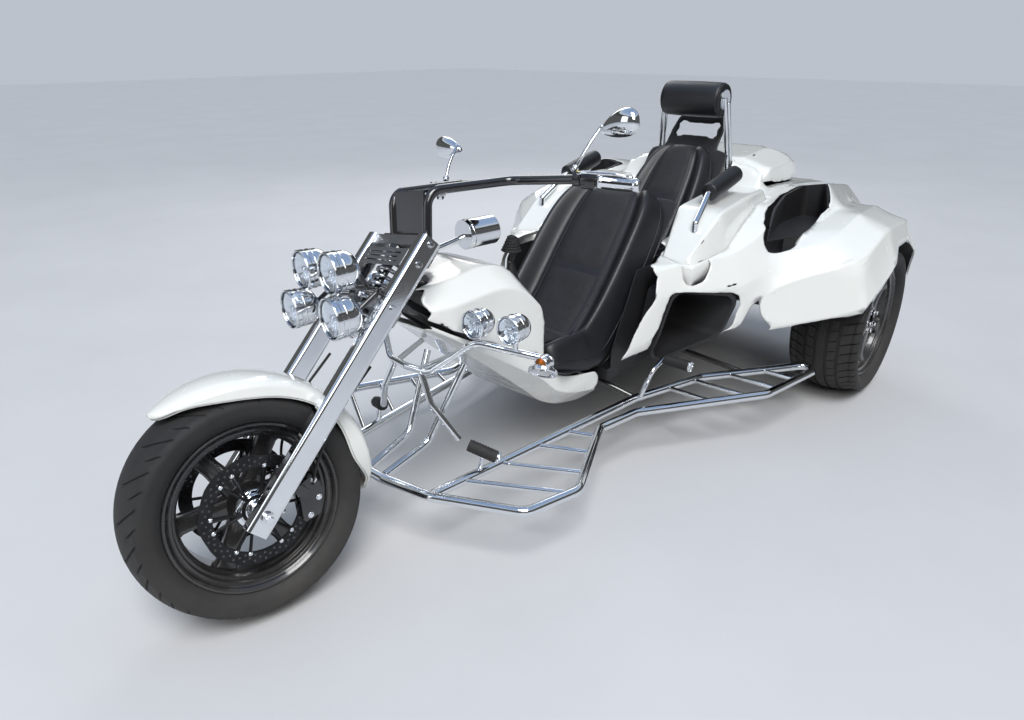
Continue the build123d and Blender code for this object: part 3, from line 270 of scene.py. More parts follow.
def noised(tree, where, scale, detail=3.0, rough=0.55):
    made = tree.nodes.new("ShaderNodeTexNoise")
    made.inputs["Detail"].default_value = detail
    made.inputs["Roughness"].default_value = rough
    link(tree, where, made.inputs["Vector"])
    if isinstance(scale, (int, float)):
        made.inputs["Scale"].default_value = scale
    else:
        link(tree, scale, made.inputs["Scale"])
    return made.outputs["Fac"]


def blended(tree, factor, first, second):
    made = tree.nodes.new("ShaderNodeMix")
    made.data_type = "RGBA"
    for socket, value in ((0, factor), (6, first), (7, second)):
        if isinstance(value, (int, float)):
            made.inputs[socket].default_value = value
        elif isinstance(value, (tuple, list)):
            made.inputs[socket].default_value = tuple(value)[:3] + (1.0,)
        else:
            link(tree, value, made.inputs[socket])
    return made.outputs[2]


def group_tones():
    """Two tones laid out by cloudy noise, with the same cloud changing the gloss."""
    tree, enter, leave, where = new_group("Cloudy tones", [
        ("Tone", "NodeSocketColor", (0.5, 0.5, 0.5, 1)),
        ("Second Tone", "NodeSocketColor", (0.4, 0.4, 0.4, 1)),
        ("Scale", "NodeSocketFloat", 6.0), ("Gloss Low", "NodeSocketFloat", 0.3),
        ("Gloss High", "NodeSocketFloat", 0.5)],
        [("Color", "NodeSocketColor"), ("Roughness", "NodeSocketFloat")])
    cloud = noised(tree, where, enter.outputs["Scale"], 5.0, 0.62)
    spread = maths(tree, "MULTIPLY", maths(tree, "SUBTRACT", cloud, 0.32), 2.6, clamp=True)
    link(tree, blended(tree, spread, enter.outputs["Tone"], enter.outputs["Second Tone"]),
         leave.inputs["Color"])
    span = maths(tree, "SUBTRACT", enter.outputs["Gloss High"], enter.outputs["Gloss Low"])
    fine = noised(tree, where, maths(tree, "MULTIPLY", enter.outputs["Scale"], 4.3), 4.0)
    rough = maths(tree, "ADD", enter.outputs["Gloss Low"], maths(tree, "MULTIPLY", span, fine))
    link(tree, rough, leave.inputs["Roughness"])
    return tree


def group_grain():
    """Pebbled grain, as on leather and moulded plastic."""
    tree, enter, leave, where = new_group("Pebbled grain", [
        ("Scale", "NodeSocketFloat", 400.0)], [("Height", "NodeSocketFloat")])
    cells = tree.nodes.new("ShaderNodeTexVoronoi")
    cells.feature = "SMOOTH_F1"
    link(tree, where, cells.inputs["Vector"])
    link(tree, enter.outputs["Scale"], cells.inputs["Scale"])
    fine = noised(tree, where, maths(tree, "MULTIPLY", enter.outputs["Scale"], 0.4), 3.0)
    both = maths(tree, "ADD", cells.outputs["Distance"], maths(tree, "MULTIPLY", fine, 0.7))
    link(tree, both, leave.inputs["Height"])
    return tree


def group_dust():
    """Road dust that thickens towards the ground."""
    tree, enter, leave, where = new_group("Road dust", [
        ("Colour", "NodeSocketColor", (0.5, 0.5, 0.5, 1)),
        ("Dust", "NodeSocketColor", (0.3, 0.27, 0.23, 1)),
        ("Reach", "NodeSocketFloat", 0.35), ("Amount", "NodeSocketFloat", 0.3)],
        [("Color", "NodeSocketColor"), ("Mask", "NodeSocketFloat")])
    split = tree.nodes.new("ShaderNodeSeparateXYZ")
    link(tree, where, split.inputs[0])
    low = maths(tree, "SUBTRACT", 1.0,
                maths(tree, "DIVIDE", split.outputs["Z"], enter.outputs["Reach"]), clamp=True)
    cloud = noised(tree, where, 9.0, 6.0, 0.7)
    mask = maths(tree, "MULTIPLY", maths(tree, "MULTIPLY", low, cloud), enter.outputs["Amount"])
    mask = maths(tree, "MULTIPLY", mask, 2.0, clamp=True)
    link(tree, blended(tree, mask, enter.outputs["Colour"], enter.outputs["Dust"]),
         leave.inputs["Color"])
    link(tree, mask, leave.inputs["Mask"])
    return tree


def group_streaks():
    """Fine polishing lines, drawn out along the object's length."""
    tree, enter, leave, where = new_group("Polishing lines", [
        ("Scale", "NodeSocketFloat", 90.0)], [("Height", "NodeSocketFloat")])
    stretch = tree.nodes.new("ShaderNodeMapping")
    stretch.inputs["Scale"].default_value = (0.15, 1.0, 1.0)
    link(tree, where, stretch.inputs["Vector"])
    link(tree, noised(tree, stretch.outputs[0], enter.outputs["Scale"], 6.0, 0.7),
         leave.inputs["Height"])
    return tree


GROUPS = {}
FINISHES = {}


def place_group(tree, name, **values):
    made = tree.nodes.new("ShaderNodeGroup")
    made.node_tree = GROUPS[name]
    for label, value in values.items():
        socket = made.inputs[label.replace("_", " ")]
        if isinstance(value, (int, float)):
            socket.default_value = value
        elif isinstance(value, (tuple, list)):
            socket.default_value = tuple(value)[:3] + (1.0,)
        else:
            link(tree, value, socket)
    return made


def make_finish(name, tone, second, gloss, scale=6.0, metal=0.0, coat=0.0, coat_gloss=0.05,
                grain=None, depth=0.0002, streaks=None, dust=None, ior=1.5, edge=0.0):
    """A material from the shared groups; gloss is the low and high roughness."""
    made = bpy.data.materials.new(name)
    made.use_nodes = True
    tree = made.node_tree
    shader = next(n for n in tree.nodes if n.type == "BSDF_PRINCIPLED")
    shader.inputs["Metallic"].default_value = metal
    shader.inputs["Coat Weight"].default_value = coat
    shader.inputs["Coat Roughness"].default_value = coat_gloss
    shader.inputs["IOR"].default_value = ior
    tones = place_group(tree, "tones", Tone=tone, Second_Tone=second, Scale=scale,
                        Gloss_Low=gloss[0], Gloss_High=gloss[1])
    colour = tones.outputs["Color"]
    rough = tones.outputs["Roughness"]
    if dust:
        layer = place_group(tree, "dust", Colour=colour, Reach=dust[0], Amount=dust[1])
        colour = layer.outputs["Color"]
        rough = maths(tree, "ADD", rough, maths(tree, "MULTIPLY", layer.outputs["Mask"], 0.4),
                      clamp=True)
    link(tree, colour, shader.inputs["Base Color"])
    link(tree, rough, shader.inputs["Roughness"])
    height = None
    if grain:
        height = place_group(tree, "grain", Scale=grain).outputs["Height"]
    if streaks:
        height = place_group(tree, "streaks", Scale=streaks).outputs["Height"]
    bump = tree.nodes.new("ShaderNodeBump")
    bump.inputs["Distance"].default_value = depth
    bump.inputs["Strength"].default_value = 1.0 if height else 0.0
    if height:
        link(tree, height, bump.inputs["Height"])
    if edge:
        corner = tree.nodes.new("ShaderNodeBevel")
        corner.samples = 4
        corner.inputs["Radius"].default_value = edge
        link(tree, corner.outputs[0], bump.inputs["Normal"])
    if height or edge:
        link(tree, bump.outputs[0], shader.inputs["Normal"])
    FINISHES[name] = made
    return made


def make_glass(name, tone, rough=0.02, weight=1.0):
    """Clear or tinted glass that lets what is behind it show."""
    made = make_finish(name, tone, tone, (rough, rough + 0.03), 12.0)
    shader = next(n for n in made.node_tree.nodes if n.type == "BSDF_PRINCIPLED")
    shader.inputs["Transmission Weight"].default_value = weight
    shader.inputs["IOR"].default_value = 1.45
    return made


class TrikeLook(bpy.types.PropertyGroup):
    paint: bpy.props.FloatVectorProperty(
        name="Body paint", description="Colour of the body shell, cowl and fenders",
        default=(0.80, 0.81, 0.775), subtype="COLOR", min=0, max=1)
    leather: bpy.props.FloatVectorProperty(
        name="Seat leather", description="Colour of both seats and the rests",
        default=(0.0075, 0.008, 0.0095), subtype="COLOR", min=0, max=1)
    chrome: bpy.props.FloatVectorProperty(
        name="Chrome", description="Colour of the bright plating",
        default=(0.83, 0.85, 0.88), subtype="COLOR", min=0, max=1)
    alloy: bpy.props.FloatVectorProperty(
        name="Wheel paint", description="Colour of the alloy wheels",
        default=(0.008, 0.008, 0.009), subtype="COLOR", min=0, max=1)
    groove: bpy.props.FloatProperty(
        name="Tread depth", description="Depth of the grooves in the tyres",
        default=0.005, unit="LENGTH", min=0.001, max=0.01)
    wire: bpy.props.FloatProperty(
        name="Spring wire", description="Radius of the fork spring's wire",
        default=0.006, unit="LENGTH", min=0.002, max=0.01)


class TRIKE_OT_finishes(bpy.types.Operator):
    """Makes the shared shader groups and every material"""
    bl_idname = "trike.finishes"
    bl_label = "Finishes"

    def execute(self, context):
        look = context.scene.trike_look
        GROUPS.update(tones=group_tones(), grain=group_grain(), dust=group_dust(),
                      streaks=group_streaks())
        paint = tuple(look.paint)
        second = tuple(0.965 * value for value in paint)
        make_finish("white_paint", paint, second, (0.22, 0.3), 3.0, coat=1.0, coat_gloss=0.04,
                    grain=900.0, depth=0.000012, dust=(0.42, 0.14), edge=0.004)
        chrome = tuple(look.chrome)
        make_finish("chrome", chrome, tuple(0.94 * v for v in chrome), (0.035, 0.11), 14.0,
                    metal=1.0, grain=240.0, depth=0.000015, dust=(0.25, 0.10), edge=0.0015)
        make_finish("cast_silver", (0.50, 0.51, 0.52), (0.42, 0.43, 0.44), (0.3, 0.48), 22.0,
                    metal=1.0, grain=1100.0, depth=0.00015, edge=0.003)
        make_finish("black_alloy", tuple(look.alloy), (0.014, 0.014, 0.015), (0.2, 0.34), 9.0,
                    coat=0.7, coat_gloss=0.09, grain=800.0, depth=0.00002, dust=(0.5, 0.10),
                    edge=0.004)
        make_finish("disc_steel", (0.035, 0.035, 0.037), (0.022, 0.022, 0.024), (0.3, 0.45), 40.0,
                    metal=0.85, streaks=260.0, depth=0.00006, edge=0.001)
        make_finish("black_metal", (0.010, 0.010, 0.011), (0.016, 0.016, 0.018), (0.16, 0.26),
                    7.0, coat=0.8, coat_gloss=0.06, grain=700.0, depth=0.00002,
                    dust=(0.3, 0.2), edge=0.002)
        make_finish("black_plastic", (0.010, 0.010, 0.011), (0.017, 0.017, 0.018),
                    (0.42, 0.6), 8.0, grain=1500.0, depth=0.0001, dust=(0.3, 0.15), edge=0.001)
        make_finish("rubber_grip", (0.013, 0.013, 0.013), (0.022, 0.022, 0.021), (0.6, 0.8),
                    12.0, grain=900.0, depth=0.0002, dust=(0.3, 0.2))
        make_finish("tyre", (0.012, 0.012, 0.0125), (0.020, 0.0195, 0.019), (0.62, 0.85), 7.0,
                    grain=1300.0, depth=0.00015, dust=(0.5, 0.09))
        leather = tuple(look.leather)
        make_finish("seat_leather", leather, tuple(1.9 * v for v in leather), (0.34, 0.48),
                    5.0, grain=620.0, depth=0.00028)
        make_finish("seat_cloth", tuple(1.25 * v for v in leather), tuple(2.4 * v for v in leather),
                    (0.62, 0.8), 14.0, grain=1500.0, depth=0.0004)
        make_finish("mirror", (0.88, 0.9, 0.92), (0.84, 0.86, 0.88), (0.01, 0.02), 9.0,
                    metal=1.0)
        make_finish("engine_metal", (0.09, 0.09, 0.095), (0.05, 0.05, 0.052), (0.45, 0.7), 16.0,
                    metal=0.6, grain=500.0, depth=0.0004, dust=(0.6, 0.4), edge=0.004)
        make_finish("spring_steel", (0.42, 0.43, 0.45), (0.32, 0.33, 0.35), (0.18, 0.3), 30.0,
                    metal=1.0)
        make_finish("brass", (0.62, 0.5, 0.06), (0.5, 0.4, 0.05), (0.4, 0.55), 30.0)
        make_glass("clear_lens", (0.93, 0.96, 1.0), 0.015)
        make_glass("amber_lens", (0.95, 0.34, 0.03), 0.05, 0.75)
        make_glass("red_lens", (0.62, 0.012, 0.012), 0.05, 0.6)
        return {"FINISHED"}


class TRIKE_OT_rigid_nodes(bpy.types.Operator):
    """Gives every rigid node of the frame its detailed material"""
    bl_idname = "trike.rigid_nodes"
    bl_label = "Rigid nodes"

    def execute(self, context):
        slots = {part["node"]: part["material_slot"] for part in frame["record"]["subparts"]}
        for name, made in NODES.items():
            finish = FINISHES[slots[name]]
            if made.material_slots:
                for slot in made.material_slots:
                    slot.material = finish
            else:
                made.data.materials.append(finish)
        return {"FINISHED"}


FLOOR_HALF = 30.0
FLOOR_STEPS = 24
CAMERA_PLACE = (2.103, 1.598, 1.448)
CAMERA_AHEAD = (-0.6929, -0.5977, -0.4033)
SENSOR_MM = 36.0
LENS_MM = 25.46


class TRIKE_OT_stage(bpy.types.Operator):
    """Adds the pale floor, the soft lights and the camera"""
    bl_idname = "trike.stage"
    bl_label = "Stage"

    def execute(self, context):
        scene = context.scene
        scene.view_settings.view_transform = "Standard"
        size, steps = FLOOR_HALF, FLOOR_STEPS
        mesh = bpy.data.meshes.new("floor")
        verts = [(-size + 2 * size * i / steps, -size + 2 * size * j / steps, 0.0)
                 for i in range(steps + 1) for j in range(steps + 1)]
        faces = [(i * (steps + 1) + j, (i + 1) * (steps + 1) + j,
                  (i + 1) * (steps + 1) + j + 1, i * (steps + 1) + j + 1)
                 for i in range(steps) for j in range(steps)]
        mesh.from_pydata(verts, [], faces)
        floor = bpy.data.objects.new("floor", mesh)
        scene.collection.objects.link(floor)
        mesh.materials.append(make_finish("floor_finish", (0.56, 0.56, 0.56), (0.53, 0.53, 0.53),
                                          (0.6, 0.75), 1.2))
        world = bpy.data.worlds.new("Studio")
        world.use_nodes = True
        tree = world.node_tree
        back = next(n for n in tree.nodes if n.type == "BACKGROUND")
        back.inputs["Strength"].default_value = 1.0
        where = tree.nodes.new("ShaderNodeTexCoord")
        split = tree.nodes.new("ShaderNodeSeparateXYZ")
        link(tree, where.outputs["Generated"], split.inputs[0])
        ramp = tree.nodes.new("ShaderNodeValToRGB")
        ramp.color_ramp.elements[0].position = 0.42
        ramp.color_ramp.elements[0].color = (0.10, 0.10, 0.10, 1)
        ramp.color_ramp.elements[1].position = 1.0
        ramp.color_ramp.elements[1].color = (0.26, 0.36, 0.56, 1)
        for spot, shade in ((0.50, (0.05, 0.055, 0.05, 1)), (0.57, (0.06, 0.07, 0.065, 1)),
                            (0.61, (0.62, 0.66, 0.70, 1)), (0.75, (0.34, 0.45, 0.64, 1))):
            stop = ramp.color_ramp.elements.new(spot)
            stop.color = shade
        link(tree, split.outputs["Z"], ramp.inputs[0])
        rays = tree.nodes.new("ShaderNodeLightPath")
        seen = blended(tree, rays.outputs["Is Camera Ray"], ramp.outputs[0], (0.50, 0.535, 0.60))
        link(tree, seen, back.inputs["Color"])
        scene.world = world
        for name, spot, target, width, power, tone in (
                ("key", (3.4, 4.2, 4.6), (0.1, 0, 0.4), 2.6, 120, (1.0, 0.97, 0.93)),
                ("fill", (5.2, -1.4, 2.6), (0.3, 0, 0.5), 3.0, 40, (0.9, 0.95, 1.0)),
                ("rim", (-3.5, -3.4, 3.8), (-0.4, 0, 0.5), 3.0, 70, (1.0, 1.0, 1.0))):
            data = bpy.data.lights.new(name, "AREA")
            data.energy = power
            data.size = width
            data.color = tone
            lamp = bpy.data.objects.new(name, data)
            lamp.location = spot
            aim = Vector(target) - Vector(spot)
            lamp.rotation_euler = aim.to_track_quat("-Z", "Y").to_euler()
            scene.collection.objects.link(lamp)
        data = bpy.data.lights.new("sky", "SUN")
        data.energy = 2.3
        data.angle = radians(28)
        lamp = bpy.data.objects.new("sky", data)
        lamp.rotation_euler = Vector((-0.35, -0.42, -1.0)).to_track_quat("-Z", "Y").to_euler()
        scene.collection.objects.link(lamp)
        data = bpy.data.cameras.new("camera")
        data.sensor_width = SENSOR_MM
        data.lens = LENS_MM
        camera = bpy.data.objects.new("camera", data)
        camera.location = CAMERA_PLACE
        camera.rotation_euler = Vector(CAMERA_AHEAD).to_track_quat("-Z", "Y").to_euler()
        scene.collection.objects.link(camera)
        scene.camera = camera
        return {"FINISHED"}


# Wheels

FRONT_TYRE = (0.316, 0.200, 0.216)  # radius, width, bead radius
REAR_TYRE = (0.330, 0.285, 0.228)
FRONT_BORE = 0.0127
REAR_BORE = 0.0305
SHARP_GROOVE = radians(32)


def arc_through(first, middle, last, count):
    """Points on the circle through three points, in order."""
    ax, ay = first
    bx, by = middle
    cx, cy = last
    d = 2 * (ax * (by - cy) + bx * (cy - ay) + cx * (ay - by))
    ux = ((ax**2 + ay**2) * (by - cy) + (bx**2 + by**2) * (cy - ay)
          + (cx**2 + cy**2) * (ay - by)) / d
    uy = ((ax**2 + ay**2) * (cx - bx) + (bx**2 + by**2) * (ax - cx)
          + (cx**2 + cy**2) * (bx - ax)) / d
    radius = hypot(ax - ux, ay - uy)
    start = atan2(ay - uy, ax - ux)
    through = atan2(by - uy, bx - ux)
    end = atan2(cy - uy, cx - ux)
    turn = (end - start) % tau
    if (through - start) % tau > turn:
        turn -= tau
    angles = [start + turn * k / count for k in range(count + 1)]
    return [(ux + radius * cos(a), uy + radius * sin(a)) for a in angles]


def tyre_rows(radius, width, bead, tread_places):
    """Half section of the tyre as (left, radius, on the tread), from the bead to the middle."""
    foot, half = 0.38 * width, width / 2
    top = bead + 0.014
    side = bead + 0.55 * (radius - bead)
    shoulder = radius - 0.085 * width
    step = 0.39 * width
    lower = (half - 0.02 * width, (top + side) / 2)
    upper = (half - 0.025 * width, (side + shoulder) / 2 + 0.03 * width)
    rows = [(foot, bead + 0.002, False)]
    rows += [(y, r, False) for y, r in arc_through((foot, top), lower, (half, side), 9)]
    rows += [(y, r, True) for y, r in arc_through((half, side), upper, (step, shoulder), 8)[1:]]
    sag = radius - shoulder
    bend = (step**2 + sag**2) / (2 * sag)
    for share in tread_places:
        y = share * width / 2
        if y < step - 0.001:
            rows.append((y, radius - bend + sqrt(bend**2 - y**2), True))
    return rows


def tread_mesh(radius, width, bead, pitches, sweep, columns, tread_places, slots, rings, depth):
    """A tyre whose grooves are cut in its rows and columns; slots are (first, last, share from,
    share to) of a pitch and of the half width, and rings are (from, to) shares of the half
    width."""
    half_rows = tyre_rows(radius, width, bead, tread_places)
    rows = half_rows + [(-y, r, t) for y, r, t in reversed(half_rows) if y > 0.0001]
    pitch = tau / pitches
    rings_out = []
    for k in range(pitches):
        for share in columns:
            ring = []
            for y, r, tread in rows:
                u = abs(y) / (width / 2)
                turn = pitch * (k + share) + sweep * u**1.4
                cut = 0.0
                if tread:
                    for first, last, low, high in slots:
                        if first <= share <= last and low <= u <= high:
                            cut = depth * min(1.0, (u - low) / 0.05 + 0.15,
                                              (high - u) / 0.05 + 0.15)
                    if any(low <= u <= high for low, high in rings):
                        cut = depth * 1.1
                r -= cut
                if not tread and 0.86 < u < 0.94:
                    r += 0.0008
                ring.append((r * cos(turn), y, r * sin(turn)))
            rings_out.append(ring)
    return rings_mesh(rings_out, closed=True, looped=True)


def rounded_section(width, deep, sides=20, square=3.4):
    """Points of a rounded rectangle as (across, deep)."""
    out = []
    for k in range(sides):
        a = tau * (k + 0.5) / sides
        c, s = cos(a), sin(a)
        size = (abs(c)**square + abs(s)**square) ** (-1 / square)
        out.append((width / 2 * c * size, deep / 2 * s * size))
    return out


def spoke(root, tip, stations, dish, angle):
    """One spoke in the wheel's plane; stations are (share, width, depth)."""
    rings = []
    for share, width, deep in stations:
        along = root + (tip - root) * share
        ring = []
        for across, out in rounded_section(width, deep):
            x = along * cos(angle) - across * sin(angle)
            z = along * sin(angle) + across * cos(angle)
            ring.append((x, dish + out, z))
        rings.append(ring)
    return rings_mesh(rings, closed=True, caps=True)


def barrel(bead, half, well, steps=128):
    """The rim's barrel with its stepped lips, closed round its own section."""
    lip = bead + 0.0137
    face = [(half, lip), (half + 0.0002, lip - 0.006), (half - 0.004, lip - 0.010),
            (half - 0.012, bead - 0.004), (half - 0.014, bead - 0.012),
            (half - 0.026, bead - 0.014), (half - 0.028, bead - 0.022),
            (half - 0.042, bead - 0.025), (0.42 * half, well - 0.007)]
    under = [(0.5 * half, well), (0.7 * half, bead - 0.001), (half - 0.0075, bead - 0.0004),
             (half - 0.0073, lip - 0.001)]
    right = [(-y, r) for y, r in reversed(face)]
    left_under = [(-y, r) for y, r in under]
    profile = face + right + left_under[::-1] + under
    return spun(profile + [profile[0]], steps, "Y")


class TRIKE_OT_tyres(bpy.types.Operator):
    """Replaces the tyres with treaded ones"""
    bl_idname = "trike.tyres"
    bl_label = "Tyres"

    def execute(self, context):
        look = context.scene.trike_look
        columns = (0.0, 0.016, 0.096, 0.112, 0.30, 0.46, 0.476, 0.54, 0.556, 0.76)
        places = [1 - k / 15 for k in range(16)]
        slots = ((0.016, 0.096, 0.16, 0.93), (0.476, 0.54, 0.60, 0.97))
        made = tread_mesh(*FRONT_TYRE, 20, radians(14), columns, places, slots, (),
                          look.groove)
        tyre = piece("front_tyre_tread", *made, "front_wheel", "tyre", place=FRONT_WHEEL)
        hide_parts("front_tyre")
        edges = [0.0]
        for middle in (0.16, 0.46):
            edges += [middle - 0.045, middle - 0.038, middle + 0.038, middle + 0.045]
        edges += [0.27, 0.35, 0.58, 0.66, 0.74]
        places = sorted(edges, reverse=True)
        rings = ((0.121, 0.199), (0.421, 0.499))
        columns = (0.0, 0.02, 0.13, 0.15, 0.40, 0.5, 0.515, 0.57, 0.585, 0.8)
        slots = ((0.02, 0.13, 0.5, 1.0), (0.515, 0.57, 0.2, 0.46))
        made = tread_mesh(*REAR_TYRE, 44, radians(7), columns, places, slots, rings,
                          1.3 * look.groove)
        for side in REAR_WHEEL:
            tyre = piece(f"rear_tyre_tread_{side}", *made, f"rear_wheel_{side}", "tyre",
                         place=REAR_WHEEL[side])
            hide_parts(f"rear_tyre_{side}")
        for made in bpy.data.objects:
            if "tyre_tread" in made.name:
                soft = made.modifiers.new("Crisp grooves", "WEIGHTED_NORMAL")
                soft.keep_sharp = True
                work = bmesh.new()
                work.from_mesh(made.data)
                for edge in work.edges:
                    if len(edge.link_faces) == 2 and edge.calc_face_angle(0) > SHARP_GROOVE:
                        edge.smooth = False
                work.to_mesh(made.data)
                work.free()
        return {"FINISHED"}


class TRIKE_OT_rims(bpy.types.Operator):
    """Replaces the rims with stepped barrels and rounded spokes"""
    bl_idname = "trike.rims"
    bl_label = "Rims"

    def execute(self, context):
        stations = ((0.0, 0.068, 0.056), (0.12, 0.066, 0.052), (0.35, 0.058, 0.046),
                    (0.7, 0.050, 0.040), (0.9, 0.056, 0.044), (1.0, 0.074, 0.052))
        parts = [barrel(FRONT_TYRE[2], 0.0833, 0.1917)]
        for k in range(6):
            parts.append(spoke(0.030, 0.188, stations, 0.0, tau * (k + 0.25) / 6))
        hub = [(0.078, FRONT_BORE), (0.078, 0.034), (0.070, 0.0445), (0.045, 0.047), (0.028, 0.058),
               (-0.028, 0.058), (-0.045, 0.047), (-0.070, 0.0445), (-0.078, 0.034),
               (-0.078, FRONT_BORE)]
        parts.append(spun(hub, 64, "Y"))
        rim = piece("front_rim_casting", *joined(parts), "front_wheel", "black_alloy",
                    place=FRONT_WHEEL)
        soften_edges(rim, 0.0012, 2, 28)
        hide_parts("front_rim")
        cap = [(0.070, FRONT_BORE), (0.070, 0.050), (0.0765, 0.0535), (0.0800, 0.0535),
               (0.0815, 0.051), (0.0820, 0.044), (0.0865, 0.042), (0.0880, 0.040),
               (0.0885, 0.033), (0.0930, 0.031), (0.0945, 0.028), (0.0948, 0.0128)]
        cover = piece("front_hub_cover", *spun(cap, 72, "Y"), "front_wheel", "chrome",
                      place=FRONT_WHEEL)
        soften_edges(cover, 0.0006, 2, 25)
        for side, way in SIDES:
            stations = ((0.0, 0.070, 0.056), (0.15, 0.058, 0.046), (0.45, 0.048, 0.036),
                        (0.8, 0.048, 0.034), (0.93, 0.058, 0.040), (1.0, 0.074, 0.050))
            parts = [barrel(REAR_TYRE[2], 0.1156, 0.2037)]
            dish = way * 0.070
            for k in range(6):
                parts.append(spoke(0.040, 0.2005, stations, dish, tau * (k + 0.4) / 6))
            low, high = (-0.060, 0.0945) if way > 0 else (-0.0945, 0.060)
            hub = [(low, REAR_BORE), (low, 0.060), (high, 0.060), (high, REAR_BORE)]
            parts.append(spun(hub, 64, "Y"))
            rim = piece(f"rear_rim_casting_{side}", *joined(parts), f"rear_wheel_{side}",
                        "black_alloy", place=REAR_WHEEL[side])
            soften_edges(rim, 0.0015, 2, 28)
            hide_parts(f"rear_rim_{side}")
            nuts = []
            for k in range(5):
                a = tau * k / 5
                spot = aimed((0.045 * cos(a), high if way > 0 else low, 0.045 * sin(a)),
                             (0, way, 0))
                nuts.append(bolt(spot, 0.0095, 0.014))
            piece(f"rear_wheel_nuts_{side}", *joined(nuts), f"rear_wheel_{side}", "chrome",
                  smooth=False, place=REAR_WHEEL[side])
        return {"FINISHED"}


# Fork, fender, lamps and mirrors

FENDER_FROM = 14.5  # degrees up from straight ahead, where the fender starts
FENDER_SPAN = 136.5
FENDER_R = 0.353
FENDER_HALF = 0.1035
FENDER_FLAT = 0.76  # share of the half width that is crowned; the skirt hangs beyond it
FENDER_ROWS = 80
FENDER_COLUMNS = 40
SPRING_X = 0.072
SPRING_TOP = 0.1147
SPRING_FOOT = -0.1853
COIL_R = 0.0245
COIL_STEPS = 28


def swell(share):
    """Rises from 0 to 1 like a quarter circle, then stays at 1."""
    return sqrt(max(0.0, 1 - (1 - min(1.0, share)) ** 2))


def fender_point(theta, across):
    """A point of the fender's outer skin; across runs from -1 to 1 over its width."""
    t = (theta - radians(FENDER_FROM)) / radians(FENDER_SPAN)
    cover = max(0.05, swell(t / 0.34) * swell((1 - t) / 0.26))
    skirt = 0.012 + 0.024 * exp(-((t - 0.80) / 0.14) ** 2) + 0.010 * exp(-((t - 0.30) / 0.2) ** 2)
    full = max(0.0, cover - 0.60) / 0.40
    skirt *= full * full * (3 - 2 * full)
    side = abs(across)
    arc = min(1.0, side / FENDER_FLAT)
    drop = max(0.0, side - FENDER_FLAT) / (1 - FENDER_FLAT)
    phi = arc * pi / 2
    y = FENDER_HALF * cover * sin(phi) * (1 if across > 0 else -1)
    crown = 0.0275 * (0.35 + 0.65 * cover)
    radius = FENDER_R - crown * (1 - cos(phi)) - skirt * drop - 0.004 * (1 - cover)
    return Vector((radius * cos(theta), y, radius * sin(theta)))


class TRIKE_OT_fender(bpy.types.Operator):
    """Replaces the front fender with a smooth pointed one and its stays"""
    bl_idname = "trike.fender"
    bl_label = "Front fender"

    def execute(self, context):
        rings = []
        for i in range(FENDER_ROWS + 1):
            theta = radians(FENDER_FROM + FENDER_SPAN * i / FENDER_ROWS)
            rings.append([fender_point(theta, -1 + 2 * j / FENDER_COLUMNS)
                          for j in range(FENDER_COLUMNS + 1)])
        skin = piece("front_fender_skin", *rings_mesh(rings), "steering", "white_paint",
                     place=FRONT_WHEEL)
        thick = skin.modifiers.new("Sheet", "SOLIDIFY")
        thick.thickness = 0.004
        thick.offset = -1.0 if skin.data.polygons[1640].normal.z > 0 else 1.0
        soften_edges(skin, 0.0016, 2, 50)
        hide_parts("front_fender")
        bead = [ring[0] for ring in rings] + [ring[-1] for ring in reversed(rings)]
        inward = [Vector((p.x * 0.992, p.y * 0.985, p.z * 0.992)) for p in bead]
        rolled = swept(inward + [inward[0]], 0.0028, 8, caps=False)
        stays = []
        for way in WAYS:
            for z in (0.306, 0.334):
                stays.append(bolt(aimed((0.0, way * 0.1005, z - 0.012), (0, -way, 0)),
                                  0.006, 0.006))
            lug = [(x, y, z) for x in (-0.020, 0.020) for y in (0.1012 * way, 0.1226 * way)
                   for z in (0.290, 0.326)]
            stays.append((lug, [(0, 1, 3, 2), (4, 6, 7, 5), (0, 4, 5, 1), (2, 3, 7, 6),
                                (0, 2, 6, 4), (1, 5, 7, 3)]))
        made = piece("front_fender_stays", *joined(stays), "steering", "chrome", smooth=False,
                     place=FRONT_WHEEL)
        soften_edges(made, 0.0012)
        piece("front_fender_edge", *rolled, "steering", "white_paint", place=FRONT_WHEEL)
        return {"FINISHED"}


